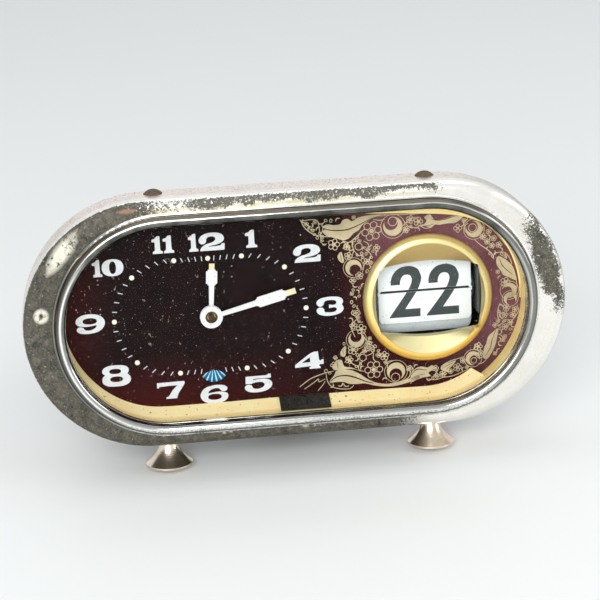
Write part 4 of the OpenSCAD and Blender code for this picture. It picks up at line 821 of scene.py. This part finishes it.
STEMS = [
    (0.31, [28, 302, 42, 274, 64, 254, 92, 242, 127, 237]), (0.29, [30, 297, 58, 300, 84, 296, 90, 270, 94, 244]),
    (0.29, [94, 244, 103, 267, 100, 280, 111, 291]), (0.26, [43, 289, 55, 281, 62, 265, 77, 266]),
    (0.29, [178, 209, 201, 221, 225, 242, 230, 250]),
    (0.29, [234, 192, 251, 178, 261, 164, 253, 149, 239, 136, 228, 116]),
    (0.29, [203, 186, 217, 167, 230, 166, 227, 150]), (0.29, [201, 218, 198, 203, 203, 186, 197, 169]),
    (0.26, [237, 215, 252, 204, 254, 183]), (0.29, [309, 283, 293, 282, 273, 286]),
    (0.29, [364, 253, 386, 270, 401, 282, 427, 283]), (0.26, [373, 276, 393, 251, 421, 249]),
    (0.29, [168, 220, 188, 214, 209, 228]), (0.29, [167, 194, 178, 209, 190, 193, 187, 177]),
    (0.31, [322, 298, 355, 297, 386, 296, 428, 298]),
    (0.31, [396, 293, 430, 296, 463, 295, 508, 293, 553, 287, 586, 278, 620, 263, 648, 245]),
    (0.28, [395, 253, 417, 246, 426, 254, 445, 244, 462, 244]), (0.31, [648, 245, 678, 219, 701, 191, 720, 164]),
    (0.31, [613, 192, 632, 173, 652, 158, 671, 139, 677, 121]),
    (0.31, [677, 141, 697, 143, 717, 139, 731, 120, 738, 100, 731, 99]), (0.28, [714, 142, 720, 121, 714, 116]),
    (0.31, [575, 255, 589, 265, 592, 279]), (0.28, [753, 41, 755, 20, 749, -3]),
    (0.28, [591, 251, 580, 240, 581, 220]), (0.29, [206, -53, 194, -63, 185, -78, 190, -97, 197, -114]),
    (0.29, [205, -48, 209, -61, 225, -65]), (0.29, [228, -117, 236, -131, 256, -138]),
    (0.29, [236, -139, 259, -154, 255, -175, 234, -184]), (0.29, [258, -176, 257, -197, 267, -209]),
    (0.29, [208, -182, 216, -172, 229, -168, 232, -157]), (0.29, [234, -195, 210, -210, 206, -231, 222, -238]),
    (0.29, [163, -184, 184, -207, 204, -220]), (0.29, [3, -275, 38, -251, 70, -239, 96, -232, 120, -229]),
    (0.26, [19, -284, 51, -264, 67, -252, 69, -263, 90, -254]),
    (0.29, [94, -235, 97, -260, 108, -280, 133, -292, 170, -296, 186, -286]),
    (0.26, [65, -293, 79, -278, 90, -262]), (0.26, [91, -232, 89, -224, 97, -221, 99, -228]),
    (0.29, [303, -233, 307, -212, 325, -208]), (0.29, [354, -284, 376, -272, 382, -253, 371, -242]),
    (0.29, [381, -294, 397, -279, 415, -270]), (0.29, [150, -275, 160, -287, 170, -285]),
    (0.29, [193, -20, 188, -32, 200, -42]), (0.29, [213, -22, 217, -34, 205, -44, 205, -53]),
    (0.29, [696, -34, 689, -55, 688, -82, 693, -99, 677, -109]), (0.26, [694, -64, 701, -89, 736, -97]),
    (0.29, [755, -47, 760, -64, 749, -84, 738, -97, 733, -113]),
    (0.31, [685, -142, 701, -151, 704, -165, 687, -172]), (0.29, [685, -112, 699, -108, 717, -98]),
    (0.29, [688, -124, 701, -129, 725, -115]), (0.29, [636, -219, 620, -223, 607, -212]),
    (0.29, [602, -192, 607, -179, 621, -166]), (0.29, [567, -214, 543, -220, 519, -226, 492, -240, 487, -251]),
    (0.26, [444, -283, 467, -288, 494, -282, 528, -279, 566, -266, 593, -257]),
    (0.29, [479, -248, 471, -263, 460, -276]), (0.29, [382, -231, 392, -243, 386, -259]),
    (0.26, [649, -226, 633, -241, 617, -242]),
]
# The bands round the calendar that small lace fills.
LACE = [np.array(tenths(row)) for row in (
    [29, 300, 224, 298, 363, 282, 367, 238, 314, 224, 265, 139, 235, 93, 228, 58, 187, 61, 162, 164, 111, 203,
     67, 248],
    [187, 73, 228, 58, 214, 11, 212, -49, 234, -99, 182, -94, 187, -23, 186, 25],
    [176, -94, 234, -93, 262, -149, 313, -202, 378, -226, 466, -239, 580, -224, 591, -249, 501, -280, 346, -292,
     204, -289, 104, -283, 97, -233, 119, -193, 151, -140],
    [580, -224, 659, -156, 690, -86, 700, 10, 686, 96, 635, 189, 548, 248, 466, 248, 361, 238, 363, 282, 467, 284,
     572, 265, 653, 223, 710, 159, 746, 79, 754, -31, 740, -120, 682, -207, 615, -248, 591, -252])]


def lace_regions(taken, leaves, away):
    """Small loops, curls and blossoms that fill the band between the larger figures."""
    rng = random.Random(11)
    spots, regions = [], []
    for _ in range(6000):
        x, y = rng.uniform(2, 77), rng.uniform(-31, 31)
        p = np.array([x, y])
        if not any(inside(a, p[None])[0] for a in LACE) or any(inside(o, p[None])[0] for o in leaves):
            continue
        if any(math.hypot(x - a, y - b) < r + 0.42 for a, b, r in taken):
            continue
        if any(math.hypot(x - a, y - b) < 1.25 for a, b in spots):
            continue
        spots.append((x, y))
        kind, turn, size = rng.random(), rng.uniform(0, TURN), rng.uniform(0.85, 1.15)
        u = np.array([math.cos(turn), math.sin(turn)]) * size
        v = np.array([-math.sin(turn), math.cos(turn)]) * size
        if kind < 0.35:
            regions.append(region([oval(x, y, 0.62 * size, 0.48 * size, 14, 2, turn)],
                                  [oval(x, y, 0.40 * size, 0.27 * size, 12, 2, turn)] + away))
        elif kind < 0.8:
            line = [p - u * 0.8, p - u * 0.2 + v * 0.35, p + u * 0.4 + v * 0.2, p + u * 0.7 - v * 0.35]
            regions.append(region([stroke(line, [0.16, 0.42, 0.36, 0.18], 3)], away))
        else:
            hearts = [p + 0.42 * (u * math.cos(k) + v * math.sin(k)) for k in np.linspace(0, TURN, 5)[:4]]
            regions.append(region([oval(*h, 0.38, n=10) for h in hearts],
                                  [oval(*h, 0.19, n=8) for h in hearts] + away))
    return regions


def make_border():
    """Gold line along the dial's edge, above and right of the ornament."""
    inner = open_curve(tenths([200, 312, 282, 306, 360, 301, 456, 293, 514, 287, 572, 276, 630, 254, 659, 237,
                               717, 186, 752, 127, 766, 53, 767, -20]), 4)
    outer = [(20, 32)] + [(OPEN_S + 33.3 * math.cos(t), 33.3 * math.sin(t))
                          for t in np.linspace(math.radians(92), math.radians(-3), 30)]
    printed("dial_border", [region([np.r_[inner, np.array(outer)[::-1]]])], MATS["gold_wall"], 0.062)


def make_ornament():
    """Thin gold print of leaves, crescents, flowers and stems round the calendar ring."""
    away = [oval(CAL_X, CAL_Y, CREST + RING_SIDE + 0.15, n=96)]

    def hoop(x, y, r, width, n):
        return region([oval(x, y, r, n=n)], [oval(x, y, r - width, n=n)] + away)

    outlines = [curve(tenths(outline), 4) for outline, _ in LEAVES]
    leaves = [region([outline], [stroke(tenths(row), [w * 0.5, w, w * 0.5], 5) for w, row in veins] + away)
              for outline, (_, veins) in zip(outlines, LEAVES)]
    crescents, flowers = [], []
    for x, y, r, way in CRESCENTS:
        dx, dy = 0.36 * r * math.cos(math.radians(way)), 0.36 * r * math.sin(math.radians(way))
        crescents.append(region([oval(x, y, r, n=36)], [oval(x + dx, y + dy, 0.70 * r, n=30)] + away))
        crescents.append(hoop(x, y, 1.28 * r, 0.16, 40))
    for x, y, r, petals, turn in FLOWERS:
        turns = [math.radians(turn) + TURN * k / petals for k in range(petals)]
        hearts = [(x + 0.56 * r * math.cos(t), y + 0.56 * r * math.sin(t)) for t in turns]
        wide = r * min(0.5, 1.9 / petals)
        flowers.append(region([oval(*h, wide, n=16) for h in hearts],
                              [oval(*h, wide - min(0.24, wide * 0.45), n=16) for h in hearts] + away))
        flowers.append(region([oval(x, y, 0.2 * r, n=12)], away))
    ringlets = [hoop(x, y, r, 0.24, 24) for x, y, r in RINGLETS]
    stems = [region([stroke(tenths(row), [w * 0.7, w, w, w * 0.7], 4)], away) for w, row in STEMS]
    taken = [(x, y, r) for x, y, r, *_ in FLOWERS + RINGLETS] + [(x, y, 1.3 * r) for x, y, r, _ in CRESCENTS]
    taken += [(*p, 0.45) for outline in outlines for p in outline]
    lace = lace_regions(taken, outlines, away)
    for name, regions, proud in (("lace", lace, 0.020), ("leaves", leaves, 0.055), ("crescents", crescents, 0.048),
                                 ("flowers", flowers, 0.041), ("ringlets", ringlets, 0.034), ("stems", stems, 0.027)):
        printed("ornament_" + name, regions, MATS["ornament_print"], proud)


# ------------ hands

HAND_THICK = 0.35


def hand(name, body, at_angle, depth, length, start, stop, stem, block, tip_from, bore):
    """A hand: round hub, tapered stem, block from start to stop, and a cream tip from tip_from to length."""
    a = math.radians(at_angle)

    def where(x, y, d):
        return at(HANDS_X + x * math.cos(a) + y * math.sin(a), y * math.cos(a) - x * math.sin(a), d)

    s0, s1, b, n = stem[0] / 2, stem[1] / 2, block / 2, 0.55
    half = [(s0, 0), (s0, 4), (s1, start - n), (b - n, start - n), (b - n, start), (b, start),
            (b, stop), (b - n, stop), (b - n, stop + n), (s1, stop + n), (s1, tip_from)]
    outline = np.array(half + [(-x, y) for x, y in half[::-1]])
    plate = [region([oval(0, 0, 3.75, n=72), outline], [oval(0, 0, bore, n=48)])]
    tip = [region([box2d(-s1, tip_from, s1, length)])]
    for kind, regions, inset, material, width in (("_hand_plate", plate, 0, "white_enamel", 0.035),
                                                  ("_hand_tip", tip, 0.02, "cream_tip", 0.03)):
        mesh = solid(regions, depth + inset, depth + HAND_THICK - inset, where, name + kind)
        ob = piece(name + kind, mesh, MATS[material], body, [name + "_hand"] if not inset else ())
        bevel(ob, width)


def make_hands():
    hand("minute", "minute_work", 76, HAND_DEPTH, 29.2, 16.2, 25.1, (1.5, 1.9), 3.6, 25.7, 1.9)
    hand("hour", "hour_work", 3.6, 5.5, 18.0, 11.2, 15.4, (1.5, 1.8), 3.7, 15.9, 1.9)
    # Brass bush of the minute hand round the end of the arbor.
    rows = []
    for r, d in ((1.5, 4.62), (1.5, 4.2), (1.56, 4.1), (1.75, 4.06), (1.95, 4.12), (2.02, 4.25), (2.02, 4.62)):
        rows.append([at(HANDS_X + r * math.cos(t), r * math.sin(t), d)
                     for t in np.linspace(0, TURN, 48, endpoint=False)])
    piece("minute_hand_bush", outward(grid_mesh(rows, "minute_hand_bush", True, True)), MATS["dark_brass"],
          "minute_work", smooth=True)


def bevel(ob, width):
    mod = ob.modifiers.new("bevel", "BEVEL")
    mod.width = width * MM
    mod.segments = 2
    mod.limit_method = "ANGLE"
    mod.angle_limit = math.radians(35)


# ------------ calendar

OPENING_W, OPENING_H = 16.6, 10.9   # half sizes of the calendar opening at its corners


def opening(t):
    """The calendar opening's edge at an angle, from its middle. Its four edges are bowed."""
    bow, side = 2.0, 1.1
    c, s = abs(math.cos(t)), abs(math.sin(t))
    lower, right = 0.55 * max(-math.sin(t), 0), 0.65 * max(math.cos(t), 0)
    out = []
    for half, bowed, far, d in ((OPENING_W, bow, OPENING_H + bow + lower, s),
                                (OPENING_H, side, OPENING_W + side + right, c)):
        radius = (half * half + bowed * bowed) / (2 * bowed)
        off = radius - far
        out.append(-off * d + math.sqrt(radius * radius - off * off * (1 - d * d)))
    return min(out)


def make_ring():
    corner = math.atan2(OPENING_H, OPENING_W)
    angles = set(np.linspace(0, TURN, 240, endpoint=False))
    angles |= {corner, math.pi - corner, math.pi + corner, TURN - corner}
    slope_foot, back_face, flange_end = 7.2, 7.52, 10.2
    rows = []
    for t in sorted(angles):
        edge = opening(t)
        top = max(CREST, edge + 0.02)
        q_top = math.acos((top - CREST) / RING_SIDE)
        row = [(CREST + RING_SIDE - 0.05, DIAL + 0.02)]
        row += [(CREST + RING_SIDE * math.cos(q), DIAL - RING_RISE * math.sin(q))
                for q in np.linspace(0.06, q_top, 10)]
        r, d = row[-1]
        row += [(r - (r - edge) * u, d + (slope_foot - d) * u ** 1.1) for u in (0.08, 0.26, 0.45, 0.64, 0.83, 1.0)]
        # The lower edge is flanged backwards, clear of the leaves' sweep.
        foot = CAL_Y + edge * math.sin(t)
        back = DRUM_DEPTH - math.sqrt(max(SWEEP_R ** 2 - (SPLIT_Y - foot) ** 2, 0)) if foot < -10 else 0
        back = min(max(back, 7.45), flange_end)
        row += [(edge, back), (edge + 0.35, back), (edge + 0.4, back_face), (21.0, back_face)]
        rows.append([at(CAL_X + r * math.cos(t), CAL_Y + r * math.sin(t), d) for r, d in row])
    mesh = outward(grid_mesh(rows, "calendar_ring_face", True, True))
    piece("calendar_ring_face", mesh, MATS["gold_ring"], "case", ["calendar_ring"], smooth=True)
    mesh.set_sharp_from_angle(angle=math.radians(38))


def make_digits():
    """The date on the two leaves, and the next date's halves behind them."""
    two = shape(0, 0, C, 10.6, 0, C, 10.6, 2.9, C, 5.3, 2.9, C, 9.3, 9.2, 10.5, 12.2, 10.7, 14.2, 9.6, 16.8, 7.6,
                18.0, 5.5, 18.2, 3.1, 17.6, 1.1, 15.7, 0.3, 13.4, 0.25, 11.7, C, 3.4, 11.7, C, 3.6, 13.4, 4.4, 14.8,
                5.6, 15.2, 6.9, 14.8, 7.5, 13.4, 7.0, 11.2, 5.6, 8.6, 0, 0.3, C)
    three = shape(0.2, 4.9, C, 0.9, 2.3, 2.9, 0.5, 5.4, 0, 8.2, 0.8, 10.2, 2.8, 10.6, 5.2, 10.0, 8.0, 8.5, 9.6, C,
                9.7, 11.4, 10.1, 13.6, 9.0, 16.6, 6.9, 18.0, 5.2, 18.2, 2.6, 17.5, 0.9, 15.3, 0.5, 13.2, C, 3.6,
                13.2, C, 4.1, 14.7, 5.2, 15.3, 6.5, 14.7, 6.9, 13.2, 6.2, 11.5, 4.4, 10.9, C, 4.4, 8.1, C, 6.3, 7.8,
                7.4, 6.4, 7.3, 4.4, 6.4, 3.1, 5.2, 2.9, 4.0, 3.4, 3.3, 4.9, C)
    foot, ink = -7.85, 0.03

    def placed(glyph, x0, height, lean=0.0, spread=0.0):
        q = glyph.copy()
        low = np.clip(1 - q[:, 1] / 9, 0, 1)
        q[:, 0] += lean * q[:, 1] - spread * (1 - q[:, 0] / 10.6) * low
        q[:, 1] *= height / 18.2
        return q + [x0, foot]

    tens, ones = placed(two, 32.8, 17.9, 0.033), placed(two, 46.2, 17.75, 0.0, 0.65)
    next_ones = placed(three, 46.2, 17.75)
    top, low = box2d(20, SPLIT_Y + 0.45, 70, 40), box2d(20, -40, 70, SPLIT_Y - 0.42)
    face, back = LEAF_DEPTH - LEAF_FACE, LEAF_DEPTH + LEAF_FACE

    def half_date(name, last, half, body, depth, where=at):
        regions = [region([digit], (), [half]) for digit in (tens, last)]
        return printed(name, regions, MATS["digit_print"], ink, body, depth, ink, where)

    half_date("date_digits_upper", ones, top, "flip_leaf", face)
    half_date("date_digits_lower", ones, low, "date_drum", face)

    # The back of the upper leaf carries the next date's lower half, upside down until the leaf has fallen.
    def behind(x, y, d):
        return at(x, 2 * SPLIT_Y - y, d)

    outward(half_date("next_digits_lower", next_ones, low, "flip_leaf", back, behind).data)

    # The leaf behind carries the next date's upper half.
    a = TURN / LEAF_COUNT
    tilt = math.radians(360 / LEAF_COUNT - LEAF_LEAN)
    pivot_y, pivot_d = SPLIT_Y + PIVOT_R * math.sin(a), DRUM_DEPTH - PIVOT_R * math.cos(a)

    def leaning(x, y, d):
        up, out = y - SPLIT_Y, d - LEAF_DEPTH
        return at(x, pivot_y + up * math.cos(tilt) - out * math.sin(tilt),
                  pivot_d + up * math.sin(tilt) + out * math.cos(tilt))

    half_date("next_digits_upper", next_ones, top, "date_drum", face, leaning)


# ------------ liner

def stadium_point(r, s):
    """Point at distance s along the outline of radius r, from the left end's lowest point, to the right.
    Below zero it runs up round the left end."""
    if 0 <= s <= 2 * OPEN_S:
        return -OPEN_S + s, -r, -math.pi / 2
    end, past = (-OPEN_S, s) if s < 0 else (OPEN_S, s - 2 * OPEN_S)
    a = -math.pi / 2 + past / r
    return end + r * math.cos(a), r * math.sin(a), a


def make_liner():
    """Paper strip on the lower part of the inner wall. It tapers out on the left and curls on the right."""
    wall, thick = OPEN_R + 0.4, 0.24
    at_glass, at_dial = 2.4, 7.42
    rng = random.Random(5)
    start, stop = -wall * math.radians(81), 2 * OPEN_S + wall * math.radians(36.5)
    n, across = 160, 8
    waves = [(rng.uniform(0.02, 0.06), rng.uniform(5, 30), rng.uniform(0, 6)) for _ in range(6)]
    rows = []
    for i in range(n + 1):
        s = start + (stop - start) * i / n
        wob = sum(a * math.sin(s / l + p) for a, l, p in waves)
        taper = min(1.0, max((s - start) / 45, 0.02)) ** 0.8
        end = max(0.0, (s - (stop - 18)) / 18)
        front, back = [], []
        for j in range(across + 1):
            v = j / across
            lean_in = 0.04 + (3.1 * taper + 0.5 * end * end + wob) * v
            d = at_glass + (at_dial - at_glass) * v
            x, y, a = stadium_point(wall, s - wall * math.radians(4.2) * v * end)
            front.append(at(x - lean_in * math.cos(a), y - lean_in * math.sin(a), d))
            back.append(at(x - (lean_in - thick) * math.cos(a), y - (lean_in - thick) * math.sin(a), d + 0.02))
        rows.append(front + back[::-1])
    mesh = outward(grid_mesh(rows, "liner_paper", False, True), fill=True)
    piece("liner_paper", mesh, MATS["cream_paper"], "case", ["liner_strip"])


# ------------ stage

def make_stage():
    floor = show("floor", outward(grid_mesh([[(x, y, 0) for x in (-4, 4)] for y in (-4, 4)], "floor")))
    m = Mat("floor")
    floor.data.materials.append(m.finish(m.mix(m.noise(400, 2, 0.5), (230, 232, 231), (235, 237, 236)), 0.55))
    world = bpy.data.worlds.new("world")
    bpy.context.scene.world = world
    world.use_nodes = True
    w = Nodes(world.node_tree, "OutputWorld")
    light = w.value("Background", (0.9, 0.92, 0.94, 1), 0.60)
    white = w.value("Background", (0.93, 0.94, 0.94, 1), 1.0)
    rays = w.node("LightPath").outputs
    camera, glossy, through = (Value(w, rays["Is %s Ray" % ray]) for ray in ("Camera", "Glossy", "Transmission"))
    w.use(w.value("MixShader", camera | glossy | through, light, white))

    def lamp(name, place, size, power):
        light = bpy.data.lights.new(name, "AREA")
        light.shape = "RECTANGLE"
        light.size, light.size_y = size
        light.energy = power
        direction = Vector((0, 0, 0.05)) - Vector(place)
        turn = direction.to_track_quat("-Z", "Y").to_matrix().to_4x4()
        show(name, light).matrix_world = Matrix.Translation(place) @ turn

    lamp("key", (-0.30, -1.00, 0.58), (0.8, 0.6), 9.8)
    lamp("side", (0.95, -0.35, 0.45), (0.4, 0.7), 3.6)
    lamp("top", (0.05, 0.25, 1.1), (1.1, 0.7), 2.6)


make_camera()
make_stage()
make_dial_print()
make_ornament()
make_border()
make_hands()
make_ring()
make_digits()
make_liner()
bpy.context.scene.view_settings.view_transform = "Standard"
